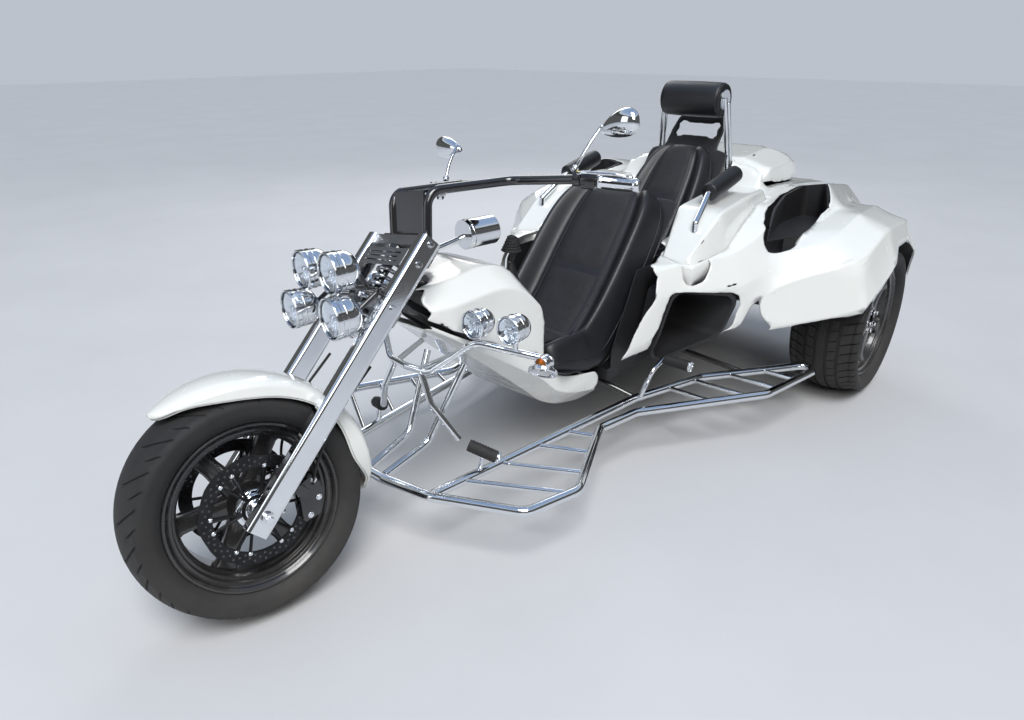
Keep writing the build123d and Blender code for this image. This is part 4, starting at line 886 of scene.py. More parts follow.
class TRIKE_OT_fork(bpy.types.Operator):
    """Replaces the spring with a wound coil and adds the fork's bolts and end caps"""
    bl_idname = "trike.fork"
    bl_label = "Fork details"

    def execute(self, context):
        look = context.scene.trike_look
        x, top, foot = SPRING_X, SPRING_TOP, SPRING_FOOT
        turns, low = 9.5, foot + 0.040
        run = top - 0.014 - low
        path = []
        for k in range(int(turns * COIL_STEPS) + 1):
            a = tau * k / COIL_STEPS
            share = k / (turns * COIL_STEPS)
            flat = min(1.0, share / 0.06, (1 - share) / 0.06)
            path.append(Vector((x + COIL_R * cos(a), COIL_R * sin(a),
                                low + run * (0.02 + 0.96 * share) - 0.002 * (1 - flat))))
        coil = piece("fork_spring_coil", *swept(path, look.wire, 12), "steering", "chrome",
                     "spring_steel", place=STEERED)
        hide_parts("fork_spring")
        turned = Matrix.Translation((x, 0, 0)) @ Matrix.Rotation(-pi / 2, 4, "Y")
        core = [(foot, 0.0), (foot, 0.017), (foot + 0.026, 0.018), (foot + 0.026, 0.031),
                (foot + 0.038, 0.032), (foot + 0.0385, 0.018), (low + 0.11, 0.0165),
                (low + 0.112, 0.009), (top - 0.014, 0.009), (top - 0.0135, 0.032),
                (top, 0.031), (top, 0.0)]
        body = piece("fork_damper", *moved(spun(core, 48), turned), "steering", "chrome",
                     "black_metal", place=STEERED)
        soften_edges(body, 0.0008)
        bar = [(-0.1224, 0.0), (-0.1224, 0.012), (0.1224, 0.012), (0.1224, 0.0)]
        pin = spun(bar, 32, "Y")
        pin = moved(pin, Matrix.Translation((x, 0, foot + 0.013)))
        made = piece("fork_spring_pin", *pin, "steering", "chrome", place=STEERED)
        soften_edges(made, 0.001)
        bolts = []
        for way in WAYS:
            for z in (0.131, -0.080, 0.064):
                bolts.append(bolt(aimed((FORK_OFFSET, way * 0.1669, z), (0, way, 0)),
                                  0.008, 0.006))
            bolts.append(bolt(aimed((FORK_OFFSET, way * 0.1765, -AXLE_DOWN), (0, way, 0)),
                              0.011, 0.007))
            bolts.append(bolt(aimed((0.0475, way * 0.145, -AXLE_DOWN + 0.030), (-1, 0, 0)),
                              0.007, 0.009))
            for x_spot in (0.044, 0.086):
                bolts.append(bolt(aimed((x_spot, way * 0.060, 0.1474), (0, 0, 1)),
                                  0.007, 0.006))
        made = piece("fork_bolts", *joined(bolts), "steering", "chrome", smooth=False,
                     place=STEERED)
        ribs = []
        for way in WAYS:
            for k in range(4):
                z = -0.052 - 0.011 * k
                ribs.append(swept([(0.030, way * 0.118, z), (0.046, way * 0.121, z)], 0.004, 8))
        piece("clamp_ribs", *joined(ribs), "steering", "cast_silver", place=STEERED)
        return {"FINISHED"}


def lamp_glass(radius):
    edge = radius - 0.0055
    out = [(0.004 - 0.006 * (k / 10) ** 2, edge * k / 10) for k in range(11)]
    back = [(x - 0.0018, r) for x, r in reversed(out)]
    return spun(out + back, 56)


def lamp_bowl(radius):
    """A fluted bowl; its bulb shield is made in lamp_bulb."""
    edge = radius - 0.006
    rings = []
    steps = 72
    for i in range(steps):
        a = tau * i / steps
        flute = 0.0007 * cos(12 * a)
        ring = []
        for k in range(9):
            r = edge * (0.12 + 0.88 * k / 8)
            ring.append((-0.0154 + 0.0118 * (k / 8) ** 2 + flute * sin(pi * k / 8),
                         r * cos(a), r * sin(a)))
        rings.append(ring)
    return rings_mesh(rings, looped=True)


def lamp_bulb(radius):
    shield = [(-0.0155, 0.0), (-0.0155, 0.16 * radius), (-0.006, 0.17 * radius),
              (-0.0045, 0.15 * radius), (-0.0035, 0.0)]
    return spun(shield, 32)


FORK_LAMPS = ((0.255, 0.088, -0.090), (0.204, 0.134, -0.196))
SIDE_LAMPS = ((1.852, 0.222, 0.690), (1.812, 0.326, 0.686))
SIGNAL = (1.765, 0.412, 0.590)
FORK_LAMP_R = 0.058
SIDE_LAMP_R = 0.044
SIGNAL_R = 0.024


class TRIKE_OT_lamps(bpy.types.Operator):
    """Gives the lamps their glasses, bowls, bulbs and rims"""
    bl_idname = "trike.lamps"
    bl_label = "Lamps"

    def execute(self, context):
        fork = [STEERED @ Matrix.Translation((x, way * y, z)) @ Matrix.Rotation(RAKE, 4, "Y")
                for x, y, z in FORK_LAMPS for way in WAYS]
        side = [Matrix.Translation(at(x, way * y, z)) for x, y, z in SIDE_LAMPS
                for way in WAYS]
        signal = [Matrix.Translation(at(SIGNAL[0], way * SIGNAL[1], SIGNAL[2]))
                  for way in WAYS]
        for label, places, radius, body, node in (
                ("fork_lamp", fork, FORK_LAMP_R, "steering", "fork_lamp_lenses"),
                ("side_lamp", side, SIDE_LAMP_R, "chassis", "side_lamp_lenses")):
            glass = joined([moved(lamp_glass(radius), place) for place in places])
            made = piece(f"{label}_glasses", *glass, body, "clear_lens")
            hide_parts(node)
            bowls = joined([moved(lamp_bowl(radius), place) for place in places])
            piece(f"{label}_bowls", *bowls, body, "chrome", "mirror")
            bulbs = joined([moved(lamp_bulb(radius), place) for place in places])
            piece(f"{label}_bulbs", *bulbs, body, "chrome")
        for label, places, radius, body in (("fork", fork, FORK_LAMP_R, "steering"),
                                            ("side", side, SIDE_LAMP_R, "chassis"),
                                            ("signal", signal, SIGNAL_R, "chassis")):
            ring = []
            for k in range(13):
                a = tau * k / 12
                ring.append((0.0018 + 0.0026 * cos(a), radius - 0.0024 + 0.0026 * sin(a)))
            bands = [(-0.030, radius - 0.0022), (-0.029, radius - 0.0008),
                     (-0.026, radius - 0.0008), (-0.025, radius - 0.0022)]
            rims = []
            for place in places:
                rims.append(moved(spun(ring, 64), place))
                rims.append(moved(spun(bands, 64), place))
            piece(f"{label}_lamp_rims", *joined(rims), body, "chrome")
        return {"FINISHED"}


class TRIKE_OT_mirrors(bpy.types.Operator):
    """Replaces the mirrors with teardrop shells on bent stems"""
    bl_idname = "trike.mirrors"
    bl_label = "Mirrors"

    def execute(self, context):
        stations = ((-0.071, -0.017, 0.005, 0.010), (-0.060, -0.014, 0.013, 0.017),
                    (-0.042, -0.010, 0.023, 0.025), (-0.018, -0.006, 0.033, 0.033),
                    (0.010, -0.002, 0.040, 0.038), (0.036, 0.000, 0.041, 0.037),
                    (0.056, 0.000, 0.036, 0.031), (0.069, -0.001, 0.026, 0.023),
                    (0.0755, -0.002, 0.012, 0.012))
        shells, plates = [], []
        for way in WAYS:
            rings, face = [], []
            for y, middle, half, deep in stations:
                ring = []
                for k in range(13):
                    a = -pi / 2 + pi * k / 12
                    ring.append((0.0005 + deep * max(cos(a), 0) ** 0.85, way * y,
                                 middle + half * sin(a)))
                for k in range(1, 6):
                    ring.append((0.0022, way * y, middle + half * (0.94 - 1.88 * k / 6)))
                rings.append(ring)
                face.append([(0.0, way * y * 0.96, middle + 0.93 * half),
                             (0.0, way * y * 0.96, middle - 0.93 * half)])
            place = Matrix.Translation((-0.098, way * 0.425, 0.680)) @ Matrix.Rotation(RAKE, 4, "Y")
            shells.append(moved(rings_mesh(rings, closed=True, caps=True), place))
            plates.append(moved(rings_mesh(face), place))
            foot = Vector((-0.1057, way * 0.330, 0.5205))
            stem = rounded_path([foot, (-0.092, way * 0.352, 0.590),
                                 (-0.091, way * 0.3625, 0.655), (-0.088, way * 0.372, 0.672)],
                                0.03)
            shells.append(swept(stem, 0.0055, 14))
            shells.append(moved(spun([(0.0, 0.0), (0.0, 0.0115), (0.016, 0.0115), (0.020, 0.007),
                                      (0.020, 0.0)], 24), aimed(foot, stem[1] - stem[0])))
        made = piece("mirror_teardrops", *joined(shells), "steering", "chrome", place=STEERED)
        fine = made.modifiers.new("Smooth", "SUBSURF")
        fine.levels = 1
        fine.render_levels = 1
        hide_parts("mirror_shells")
        made = piece("mirror_plates", *joined(plates), "steering", "mirror", smooth=False,
                     place=STEERED)
        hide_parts("mirror_glass")
        return {"FINISHED"}


# Body panels

# The rim round the rear wheels lies behind, outside and below these places, in metres
RIM_BEHIND = -0.75
RIM_OUTSIDE = 0.40
RIM_BELOW = 0.80
RIM_ANGLE = radians(50)
RIM_WIDTH = 0.009  # a little more than the panel's thickness

CONSOLE_EDGE = (
    # ahead, left, up, outward direction
    (0.925, 0.300, 0.686, (1.0, 0.0)), (0.925, 0.370, 0.686, (1.0, 0.0)),
    (0.925, 0.436, 0.686, (0.8, 0.6)), (0.915, 0.442, 0.687, (0.3, 0.95)),
    (0.850, 0.447, 0.691, (0.0, 1.0)), (0.700, 0.461, 0.700, (0.0, 1.0)),
    (0.575, 0.457, 0.710, (0.0, 1.0)),
)
# Section of the skirt below a console, as (inward, down) from its edge
SKIRT_SECTION = ((0.006, -0.012), (0.001, 0.0), (0.004, 0.040), (0.026, 0.090),
                 (0.032, 0.090), (0.014, -0.012))


def rim_places(work):
    """Where the thin rim of the panel runs round the rear wheels: at sharp edges of faces that
    are no wider than the panel is thick."""
    places = []
    for edge in work.edges:
        spot = edge.verts[0].co
        if spot.x > RIM_BEHIND or abs(spot.y) < RIM_OUTSIDE or spot.z > RIM_BELOW:
            continue
        if len(edge.link_faces) != 2 or edge.calc_face_angle(0) < RIM_ANGLE:
            continue
        if min(2 * face.calc_area() / max(side.calc_length() for side in face.edges)
               for face in edge.link_faces) < RIM_WIDTH:
            places += [vert.co.copy() for vert in edge.verts]
    return places


def eased_mesh(node, longest, rounds, beside=(), reach_m=0.05):
    """The node's panel with its creases eased into curves, as (verts, faces); it stays in place
    where it meets a node beside it and at its rim round the rear wheels."""
    work = bmesh.new()
    work.from_mesh(NODES[node].data)
    work.transform(NODES[node].matrix_world)
    bmesh.ops.remove_doubles(work, verts=work.verts, dist=0.00003)
    bmesh.ops.dissolve_limit(work, angle_limit=radians(0.6), verts=work.verts, edges=work.edges)
    bmesh.ops.triangulate(work, faces=work.faces)
    for _ in range(10):
        long_edges = [edge for edge in work.edges if edge.calc_length() > longest]
        if not long_edges:
            break
        bmesh.ops.subdivide_edges(work, edges=long_edges, cuts=1)
        bmesh.ops.triangulate(work, faces=[face for face in work.faces if len(face.verts) > 3])
        flat = [edge for edge in work.edges
                if len(edge.link_faces) == 2 and edge.calc_face_angle(1) < radians(0.5)]
        bmesh.ops.beautify_fill(work, faces=work.faces, edges=flat)
    work.verts.ensure_lookup_table()
    spots = np.array([vert.co[:] for vert in work.verts])
    pairs = np.array([[vert.index for vert in edge.verts] for edge in work.edges])
    held = np.ones(len(spots))
    for other in beside:
        near = bmesh.new()
        near.from_mesh(NODES[other].data)
        near.transform(NODES[other].matrix_world)
        tree = BVHTree.FromBMesh(near)
        near.free()
        gaps = np.array([tree.find_nearest(vert.co)[3] for vert in work.verts])
        held = np.minimum(held, np.clip((gaps - 0.008) / reach_m, 0, 1))
    places = rim_places(work) if node == "body_shell" else []
    if places:
        rim = KDTree(len(places))
        for number, place in enumerate(places):
            rim.insert(place, number)
        rim.balance()
        gaps = np.array([rim.find(vert.co)[2] for vert in work.verts])
        held = np.minimum(held, np.clip((gaps - 0.004) / reach_m, 0, 1))
    for _ in range(rounds):
        reach = np.linalg.norm(spots[pairs[:, 0]] - spots[pairs[:, 1]], axis=1)
        total = np.zeros_like(spots)
        weight = np.zeros(len(spots))
        for here, there in ((0, 1), (1, 0)):
            np.add.at(total, pairs[:, here], spots[pairs[:, there]] * reach[:, None])
            np.add.at(weight, pairs[:, here], reach)
        middle = total / np.maximum(weight, 1e-9)[:, None]
        spots += 0.5 * held[:, None] * (middle - spots)
    faces = [tuple(vert.index for vert in face.verts) for face in work.faces]
    work.free()
    return [tuple(spot) for spot in spots], faces


class TRIKE_OT_panels(bpy.types.Operator):
    """Replaces the body panels with ones whose creases run into curves"""
    bl_idname = "trike.panels"
    bl_label = "Body panels"

    def execute(self, context):
        for node, body, longest, rounds, beside in (
                ("body_shell", "chassis", 0.030, 18, ("consoles", "arch_liners")),
                ("front_fairing", "chassis", 0.020, 8, ()),
                ("consoles", "chassis", 0.020, 9, ()), ("seat_shells", "chassis", 0.018, 7, ()),
                ("luggage_lid", "luggage_lid", 0.024, 14, ())):
            verts, faces = eased_mesh(node, longest, rounds, beside)
            finish = "black_plastic" if node == "seat_shells" else "white_paint"
            made = piece(f"{node}_skin", verts, faces, body, finish)
            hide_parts(node)
        skirts = []
        for way in WAYS:
            rings = []
            for ahead, outer, foot, out in CONSOLE_EDGE:
                push = Vector((out[0], way * out[1], 0))
                edge = at(ahead, way * outer, foot)
                rings.append([edge - inward * push + Vector((0, 0, -down))
                              for inward, down in SKIRT_SECTION])
            skirts.append(rings_mesh(rings, closed=True, caps=True))
        piece("console_skirts", *joined(skirts), "chassis", "white_paint")
        return {"FINISHED"}


# Seats and rests

SEAM = 0.56  # where the seam runs, as a share of the half width


def spline(rows, count):
    """Evenly spread points through rows of numbers by a smooth curve."""
    table = [np.array(row, dtype=float) for row in rows]
    table = [2 * table[0] - table[1]] + table + [2 * table[-1] - table[-2]]
    spans = len(table) - 3
    out = []
    for k in range(count + 1):
        t = min(spans * k / count, spans - 1e-9)
        i = int(t)
        t -= i
        a, b, c, d = table[i:i + 4]
        out.append(0.5 * (2 * b + (c - a) * t + (2 * a - 5 * b + 4 * c - d) * t**2
                          + (3 * b - a - 3 * c + d) * t**3))
    return out


def seat_shape(profile, half, edge, count=70, across=44, roll=0.26):
    """A padded seat; profile rows are (ahead, up, out ahead, out up, thickness, bolster, half
    share); the front follows the row's out direction and bulges at its bolsters."""
    rows = spline(profile, count)
    front, back = [], []
    for i, row in enumerate(rows):
        ahead, up, out_a, out_u, thick, bolster, share = row
        out = Vector((out_a, 0, out_u)).normalized()
        base = at(ahead, 0, up)
        width = half * share
        end = min(1.0, i / 5, (count - i) / 5)
        end = sqrt(max(0.0, 1 - (1 - end) ** 2))
        ring = []
        for j in range(across + 1):
            u = -1 + 2 * j / across
            v = sin(u * pi / 2)
            side = abs(v)
            fade = sqrt(max(0.0, 1 - max(0.0, (side - (1 - roll)) / roll) ** 2))
            hump = exp(-((side - 0.80) / 0.15) ** 2)
            trough = 1 - 0.16 * exp(-((side - SEAM) / 0.05) ** 2)
            middle = thick * (1 + 0.14 * cos(side / SEAM * pi / 2) if side < SEAM else 1)
            tall = (middle * trough * (1 - hump) + (thick + bolster) * hump) * fade
            ring.append(base + out * (tall * (0.30 + 0.70 * end)) + Vector((0, v * width, 0)))
        front.append(ring)
        rest = []
        for j in range(across + 1):
            u = 1 - 2 * j / across
            v = sin(u * pi / 2)
            rest.append(base - out * edge * (0.4 + 0.6 * end) * (1 - 0.3 * abs(v) ** 6)
                        + Vector((0, v * width * 0.985, 0)))
        back.append(rest)
    return rings_mesh([a + b for a, b in zip(front, back)], closed=True, caps=True), rows, front


def strip_on(front, columns, low, high, rise, normals):
    """A padded panel laid on the seat's front between two columns."""
    rings = []
    for i in range(low, high + 1):
        row = front[i]
        out = normals[i]
        end = min(1.0, (i - low) / 3, (high - i) / 3)
        end = sqrt(max(0.0, 1 - (1 - end) ** 2))
        ring = []
        first, last = columns
        for j in range(first, last + 1):
            side = (j - first) / (last - first)
            puff = sqrt(max(0.0, 1 - max(0.0, abs(2 * side - 1) - 0.86) ** 2 / 0.14 ** 2))
            ring.append(Vector(row[j]) + out * (rise * puff * end - 0.001))
        rings.append(ring)
    return rings_mesh(rings)


def piping(front, column, low, high, normals, radius, lift):
    path = [Vector(front[i][column]) + normals[i] * lift for i in range(low, high + 1)]
    return swept(path, radius, 8)


def roll_pad(start, end, radius, bulge, rings_count=34, sides=40):
    """A padded roll with flat, piped ends."""
    start, end = Vector(start), Vector(end)
    line = end - start
    ahead = line.normalized()
    side = ahead.cross(Vector((0, 0, 1))).normalized()
    up = side.cross(ahead).normalized()
    rings = []
    for i in range(rings_count + 1):
        t = i / rings_count
        shape = 1 - bulge * (2 * t - 1) ** 2
        crease = 0.012 * exp(-((t - 0.06) / 0.012) ** 2) + 0.012 * exp(-((t - 0.94) / 0.012) ** 2)
        near = min(t, 1 - t) * line.length
        corner = sqrt(max(0.0, 1 - max(0.0, 1 - near / 0.010) ** 2))
        size = radius * (shape - crease) * (0.88 + 0.12 * corner)
        rings.append([start + line * t + size * (cos(tau * k / sides) * side
                                                 + sin(tau * k / sides) * up)
                      for k in range(sides)])
    return rings_mesh(rings, closed=True, caps=True)


DRIVER_ROWS = (
    # ahead, up, out ahead, out up, thickness, bolster, half share
    (1.4560, 0.410, 0.40, 1.00, 0.030, 0.010, 0.80),
    (1.4250, 0.400, 0.20, 1.00, 0.062, 0.030, 0.90),
    (1.3600, 0.384, 0.13, 1.00, 0.074, 0.048, 0.97),
    (1.2850, 0.369, 0.28, 1.00, 0.080, 0.060, 1.00),
    (1.2050, 0.372, 0.62, 0.95, 0.088, 0.068, 1.00),
    (1.1450, 0.405, 0.80, 0.72, 0.084, 0.070, 1.00),
    (1.0700, 0.480, 0.80, 0.66, 0.074, 0.068, 1.00),
    (0.9900, 0.575, 0.78, 0.64, 0.070, 0.064, 1.00),
    (0.9100, 0.671, 0.78, 0.64, 0.070, 0.060, 0.99),
    (0.8300, 0.766, 0.78, 0.64, 0.068, 0.054, 0.95),
    (0.7750, 0.836, 0.76, 0.66, 0.062, 0.040, 0.85),
    (0.7400, 0.886, 0.60, 0.80, 0.050, 0.014, 0.64),
)
PASSENGER_ROWS = (
    (0.8000, 0.592, 0.05, 1.00, 0.096, 0.006, 0.92),
    (0.7300, 0.588, 0.06, 1.00, 0.100, 0.012, 0.98),
    (0.6500, 0.581, 0.12, 1.00, 0.096, 0.016, 1.00),
    (0.5700, 0.577, 0.35, 1.00, 0.096, 0.020, 1.00),
    (0.5050, 0.598, 0.80, 0.75, 0.084, 0.024, 1.00),
    (0.4300, 0.690, 0.84, 0.58, 0.074, 0.026, 1.00),
    (0.3500, 0.798, 0.84, 0.58, 0.070, 0.024, 0.98),
    (0.2800, 0.892, 0.84, 0.58, 0.066, 0.018, 0.88),
    (0.2300, 0.960, 0.84, 0.58, 0.060, 0.010, 0.72),
    (0.1960, 1.008, 0.75, 0.66, 0.040, 0.002, 0.46),
)


HEADREST = (0.180, 0.135, 1.214)  # ahead, half length, up
ARMREST = ((0.655, 0.340, 0.914), (0.435, 0.340, 0.960))


class TRIKE_OT_seats(bpy.types.Operator):
    """Replaces both seats with crowned cushions, rolled bolsters, seams and cloth panels"""
    bl_idname = "trike.seats"
    bl_label = "Seats"

    def execute(self, context):
        for label, rows, half, node in (
                ("driver", DRIVER_ROWS, 0.262, "driver_seat"),
                ("passenger", PASSENGER_ROWS, 0.193, "passenger_seat")):
            across = 44
            shape, stations, front = seat_shape(rows, half, 0.006)
            made = piece(f"{label}_cushion", *shape, "chassis", "seat_leather")
            fine = made.modifiers.new("Soft", "SUBSURF")
            fine.levels = 1
            fine.render_levels = 1
            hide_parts(node)
            normals = [Vector((row[2], 0, row[3])).normalized() for row in stations]
            low_column = next(j for j in range(across + 1)
                              if sin((-1 + 2 * j / across) * pi / 2) > -0.46)
            high_column = across - low_column
            panels = []
            for first, last in ((3, 24), (27, 45), (46, 66)):
                panels.append(strip_on(front, (low_column, high_column), first, last, 0.006,
                                       normals))
            piece(f"{label}_cloth", *joined(panels), "chassis", "seat_leather", "seat_cloth")
            lines = []
            for column in (low_column - 1, high_column + 1):
                lines.append(piping(front, column, 3, 67, normals, 0.0022, 0.0008))
            for column in (3, across - 3):
                lines.append(piping(front, column, 2, 68, normals, 0.0020, 0.0006))
            piece(f"{label}_piping", *joined(lines), "chassis", "seat_leather")
        return {"FINISHED"}


class TRIKE_OT_rests(bpy.types.Operator):
    """Replaces the headrest and armrests with padded rolls and adds piping and bolts"""
    bl_idname = "trike.rests"
    bl_label = "Rests"

    def execute(self, context):
        ahead, half, up = HEADREST
        rolls = [roll_pad(at(ahead, -half, up), at(ahead, half, up), 0.0735, 0.03)]
        for way in WAYS:
            front, back = [at(x, way * y, z) for x, y, z in ARMREST]
            rolls.append(roll_pad(front, back, 0.0355, 0.05))
        made = piece("rest_rolls", *joined(rolls), "chassis", "seat_leather")
        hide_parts("rest_pads")
        rings = []
        for way in WAYS:
            y = way * 0.1352
            rings.append(swept([at(ahead, y, up) + Vector((0.0655 * cos(tau * k / 40), 0,
                                                           0.0655 * sin(tau * k / 40)))
                                for k in range(41)], 0.0022, 8, caps=False))
        piece("headrest_piping", *joined(rings), "chassis", "seat_leather")
        caps = []
        for way in WAYS:
            for (x, y, z), out in zip(ARMREST, (1, -1)):
                caps.append(bolt(aimed(at(x, way * y, z), (out * 0.98, 0, -out * 0.2)),
                                 0.007, 0.004))
        for way in WAYS:
            caps.append(bolt(aimed(at(ahead, way * 0.1355, up), (0, way, 0)), 0.008, 0.005))
        piece("rest_bolts", *joined(caps), "chassis", "chrome", smooth=False)
        return {"FINISHED"}


# Brakes, controls and trim

DISC_Y = 0.0883
BAR_TIP = ((-0.112, 0.350, 0.498), (-0.203, 0.505, 0.540))
PEGS = (((1.002, 0.4053, 0.350), (1.002, 0.510, 0.350)),
        ((1.866, 0.208, 0.288), (1.824, 0.296, 0.256)))
PEG_R = 0.019
PEG_CAP_R = 0.0205
PEG_RIBS = 9


def pegs():
    """Root and tip of every foot peg, on both sides."""
    return [(at(root[0], way * root[1], root[2]), at(tip[0], way * tip[1], tip[2]))
            for root, tip in PEGS for way in WAYS]


def rotor(radius, inner, half, holes_at, bore, holes):
    """A brake ring as a ruled band between hole rings; its rows of drilled holes are painted shade,
    flat dark discs on both faces that are not cut through.
    """
    rings = []
    steps = 144
    for i in range(steps):
        a = tau * i / steps
        ring = []
        for r, y in ((inner, half), (radius, half), (radius, -half), (inner, -half)):
            wave = 0.0016 * cos(9 * a) if r == radius else 0.0
            ring.append(((r + wave) * cos(a), y, (r + wave) * sin(a)))
        rings.append(ring)
    band = rings_mesh(rings, closed=True, looped=True)
    # Painted shade: each drilled hole is a flat dark disc just off the face, standing in for the
    # dark look of the hole.
    hole_shade_discs = []
    for row, r in enumerate(holes_at):
        for k in range(holes):
            a = tau * (k + 0.5 * (row % 2)) / holes
            for face in (1, -1):
                y = face * (half + 0.00025)
                centre = Vector((r * cos(a), y, r * sin(a)))
                disc = [centre]
                for m in range(12):
                    b = tau * m / 12
                    disc.append(centre + Vector((bore * cos(b), 0, bore * sin(b))))
                hole_shade_discs.append((disc, [(0, m + 1, (m + 1) % 12 + 1) for m in range(12)]))
    return band, joined(hole_shade_discs)


class TRIKE_OT_brakes(bpy.types.Operator):
    """Replaces the brake discs with rings on slim carriers, their drill holes painted as dark discs
    of painted shade, and dresses the callipers
    """
    bl_idname = "trike.brakes"
    bl_label = "Brakes"

    def execute(self, context):
        bands, hole_shade_discs, arms, pins = [], [], [], []
        for way in WAYS:
            shift = Matrix.Translation((0, way * DISC_Y, 0))
            # The holes returned here are the painted-shade discs, not cut holes.
            band, holes = rotor(0.1484, 0.114, 0.0028, (0.123, 0.131, 0.139), 0.0033, 30)
            bands.append(moved(band, shift))
            hole_shade_discs.append(moved(holes, shift))
            for k in range(6):
                a = tau * (k + 0.25) / 6
                foot, tip = 0.034, 0.118
                for lean in (-0.16, 0.16):
                    path = [(foot * cos(a), way * 0.0868, foot * sin(a)),
                            (tip * cos(a + lean), way * 0.0876, tip * sin(a + lean))]
                    arms.append(swept(path, 0.0045, 8))
                    spot = aimed((0.119 * cos(a + lean), way * 0.0905, 0.119 * sin(a + lean)),
                                 (0, way, 0))
                    pins.append(bolt(spot, 0.0042, 0.003))
            ring = [(way * 0.0838, 0.0128), (way * 0.0838, 0.040), (way * 0.0905, 0.040),
                    (way * 0.0915, 0.0128)]
            arms.append(spun(ring, 48, "Y"))
        made = piece("front_rotors", *joined(bands + arms), "front_wheel", "disc_steel",
                     place=FRONT_WHEEL)
        soften_edges(made, 0.0005, 1)
        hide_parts("front_discs")
        # Painted shade: dark discs where the drill holes would show dark.
        piece("front_rotor_holes", *joined(hole_shade_discs), "front_wheel", "disc_steel", "black_metal",
              place=FRONT_WHEEL)
        piece("front_rotor_pins", *joined(pins), "front_wheel", "chrome", smooth=False,
              place=FRONT_WHEEL)
        bolts = []
        lines = []
        for way in WAYS:
            for x, z in ((-0.146, 0.052), (-0.139, 0.104), (-0.098, 0.137)):
                spot = (x + 0.012, way * (DISC_Y + 0.0243), z - 0.006)
                bolts.append(bolt(aimed(spot, (0, way, 0)), 0.0062, 0.005))
            path = rounded_path([(-0.090, way * 0.112, 0.120), (-0.060, way * 0.128, 0.180),
                                 (-0.035, way * 0.128, 0.300), (-0.052, way * 0.128, 0.470)],
                                0.05)
            lines.append(swept(path, 0.0042, 10))
        piece("calliper_bolts", *joined(bolts), "steering", "chrome", smooth=False,
              place=FRONT_WHEEL)
        piece("brake_hoses", *joined(lines), "steering", "rubber_grip", place=FRONT_WHEEL)
        soften_edges(NODES["brake_calipers"], 0.004, 3, 30)
        return {"FINISHED"}


class TRIKE_OT_controls(bpy.types.Operator):
    """Replaces the grips with chrome ones and adds their strips, levers and switches"""
    bl_idname = "trike.controls"
    bl_label = "Controls"

    def execute(self, context):
        grips, bands, housings, levers, brass = [], [], [], [], []
        for way in WAYS:
            foot, tip = [Vector((x, way * y, z)) for x, y, z in BAR_TIP]
            line = (tip - foot).normalized()
            start = tip - line * 0.118
            profile = [(0.0, 0.0145), (0.0, 0.0196), (0.004, 0.0206), (0.009, 0.0206),
                       (0.011, 0.0188), (0.100, 0.0188), (0.103, 0.0202), (0.112, 0.0202),
                       (0.1165, 0.0185), (0.1178, 0.014), (0.1178, 0.0)]
            place = aimed(start, line)
            grips.append(moved(spun(profile, 40), place))
            for k in range(6):
                a = tau * (k + 0.5) / 6
                spot = Vector((0, 0.0186 * cos(a), 0.0186 * sin(a)))
                strip = swept([spot + Vector((0.014, 0, 0)), spot + Vector((0.098, 0, 0))],
                              0.0036, 10)
                bands.append(moved(strip, place))
            housing = [(-0.050, 0.0142), (-0.048, 0.0225), (-0.030, 0.0245), (-0.010, 0.0245),
                       (-0.006, 0.0200), (-0.0055, 0.0142)]
            housings.append(moved(spun(housing, 40), place))
            forward = line.cross(Vector((0, 0, 1))) * way
            if forward.x < 0:
                forward = -forward
            forward.normalize()
            perch = start - line * 0.062
            housings.append(swept([perch, perch + forward * 0.026], 0.010, 16))
            housings.append(moved(spun([(-0.012, 0.0142), (-0.011, 0.0195), (0.011, 0.0195),
                                        (0.012, 0.0142)], 32), aimed(perch, line)))
            lever = rounded_path([perch + forward * 0.024, perch + forward * 0.040 + line * 0.02,
                                  perch + forward * 0.044 + line * 0.12,
                                  perch + forward * 0.034 + line * 0.158], 0.02)
            levers.append(swept(lever, 0.0046, 12))
            levers.append(moved(spun([(-0.006, 0.0), (-0.005, 0.005), (0, 0.0066), (0.005, 0.005),
                                      (0.006, 0.0)], 16), aimed(lever[-1], line)))
            if way > 0:
                spot = perch + forward * 0.014 + Vector((0, 0, 0.010))
                brass.append(moved(spun([(0, 0.0), (0, 0.008), (0.006, 0.008), (0.007, 0.0)], 24),
                                   aimed(spot, (0, 0, 1))))
        made = piece("chrome_grips", *joined(grips), "steering", "rubber_grip", "chrome",
                     place=STEERED)
        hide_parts("grips")
        piece("grip_bands", *joined(bands), "steering", "rubber_grip", place=STEERED)
        made = piece("switch_housings", *joined(housings), "steering", "black_metal",
                     place=STEERED)
        soften_edges(made, 0.001)
        piece("bar_levers", *joined(levers), "steering", "chrome", place=STEERED)
        piece("lever_cap", *joined(brass), "steering", "chrome", "brass", place=STEERED)
        soften_edges(NODES["handlebar"], 0.002, 2, 30)
        return {"FINISHED"}


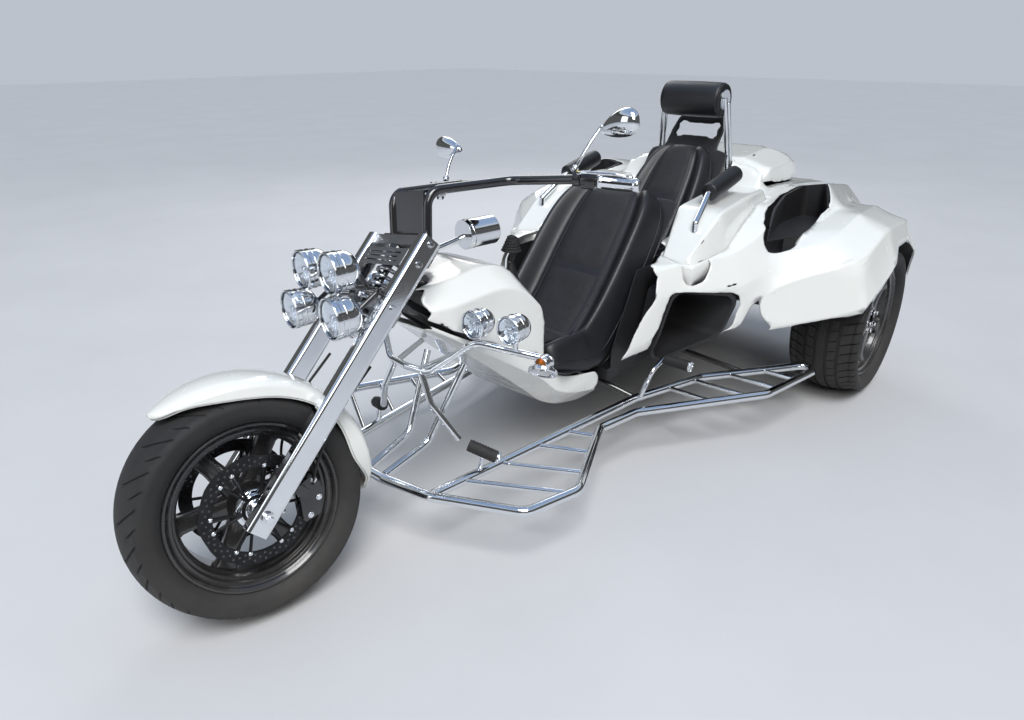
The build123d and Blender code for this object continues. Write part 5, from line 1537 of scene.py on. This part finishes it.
class TRIKE_OT_trim(bpy.types.Operator):
    """Adds the instrument face, peg ribs and caps, gear boot pleats and horn discs"""
    bl_idname = "trike.trim"
    bl_label = "Trim"

    def execute(self, context):
        place = Matrix.Translation((-0.128, 0, 0.322)) @ Matrix.Rotation(RAKE, 4, "Y")
        rear = Matrix.Rotation(pi, 4, "Z")
        glass = [(0.0575, 0.0), (0.0572, 0.020), (0.0562, 0.0385)]
        piece("instrument_glass", *moved(spun(glass, 56), place @ rear), "steering",
              "black_metal", place=STEERED)
        bezel = []
        for k in range(11):
            a = tau * k / 10
            bezel.append((0.0562 + 0.0026 * cos(a), 0.0425 + 0.0030 * sin(a)))
        rims = [moved(spun(bezel, 56), place @ rear)]
        band = [(-0.045, 0.0458), (-0.044, 0.0472), (-0.038, 0.0472), (-0.037, 0.0458)]
        rims.append(moved(spun(band, 56), place @ rear))
        piece("instrument_bezel", *joined(rims), "steering", "chrome", place=STEERED)
        ribs = []
        for foot, tip in pegs():
            long = (tip - foot).length
            profile = [(0.0, PEG_R * 0.7)]
            for k in range(PEG_RIBS):
                x = long * (0.06 + 0.86 * k / PEG_RIBS)
                step = long * 0.86 / PEG_RIBS
                profile += [(x, PEG_R - 0.0012), (x + 0.25 * step, PEG_R + 0.0012),
                            (x + 0.70 * step, PEG_R + 0.0012), (x + 0.95 * step, PEG_R - 0.0012)]
            profile.append((long, PEG_R * 0.7))
            ribs.append(moved(spun(profile, 32), aimed(foot, tip - foot)))
        piece("peg_ribs", *joined(ribs), "chassis", "rubber_grip")
        ends = []
        cap = [(-0.004, 0.0), (-0.004, PEG_CAP_R), (0.0, PEG_CAP_R + 0.0006), (0.003, PEG_CAP_R),
               (0.005, 0.6 * PEG_CAP_R), (0.005, 0.0)]
        for foot, tip in pegs():
            line = (tip - foot).normalized()
            ends.append(moved(spun(cap, 32), aimed(tip - line * 0.001, line)))
        made = piece("peg_caps", *joined(ends), "chassis", "chrome")
        soften_edges(made, 0.0006)
        profile = []
        for k in range(6):
            size = 0.0335 - 0.0036 * k
            up = 0.004 + 0.0085 * k
            profile += [(up, size - 0.003), (up + 0.002, size), (up + 0.0055, size),
                        (up + 0.0080, size - 0.0035)]
        profile.append((0.056, 0.008))
        foot = at(1.515, 0.080, 0.812)
        pleats = moved(spun(profile, 40), aimed(foot, (-0.05, 0, 1)))
        piece("gear_boot_pleats", *pleats, "chassis", "rubber_grip")
        horn = [(0.0, 0.0), (0.0, 0.040), (0.006, 0.0445), (0.014, 0.0445), (0.017, 0.0410),
                (0.0165, 0.0375), (0.011, 0.035), (0.012, 0.024), (0.010, 0.012), (0.013, 0.0)]
        horns = [moved(spun(horn, 56), aimed(at(1.742, way * 0.402, 0.566),
                                             (0.60, way * 0.30, -0.74))) for way in WAYS]
        made = piece("horn_discs", *joined(horns), "chassis", "chrome")
        soften_edges(made, 0.0008)
        return {"FINISHED"}


OPERATORS = (TRIKE_OT_finishes, TRIKE_OT_rigid_nodes, TRIKE_OT_tyres, TRIKE_OT_rims,
             TRIKE_OT_fender, TRIKE_OT_fork, TRIKE_OT_lamps, TRIKE_OT_mirrors,
             TRIKE_OT_panels, TRIKE_OT_seats, TRIKE_OT_rests, TRIKE_OT_brakes,
             TRIKE_OT_controls, TRIKE_OT_trim, TRIKE_OT_stage)


class TRIKE_PT_panel(bpy.types.Panel):
    bl_idname = "TRIKE_PT_panel"
    bl_label = "Trike"
    bl_space_type = "VIEW_3D"
    bl_region_type = "UI"
    bl_category = "Trike"

    def draw(self, context):
        look = context.scene.trike_look
        for name in TrikeLook.__annotations__:
            self.layout.prop(look, name)
        for operator in OPERATORS:
            self.layout.operator(operator.bl_idname)


CLASSES = (TrikeLook,) + OPERATORS + (TRIKE_PT_panel,)


def register():
    for item in CLASSES:
        bpy.utils.register_class(item)
    bpy.types.Scene.trike_look = bpy.props.PointerProperty(type=TrikeLook)


def unregister():
    del bpy.types.Scene.trike_look
    for item in reversed(CLASSES):
        bpy.utils.unregister_class(item)


def main():
    register()
    for operator in OPERATORS:
        group, name = operator.bl_idname.split(".")
        getattr(getattr(bpy.ops, group), name)()


if __name__ == "__main__":
    main()
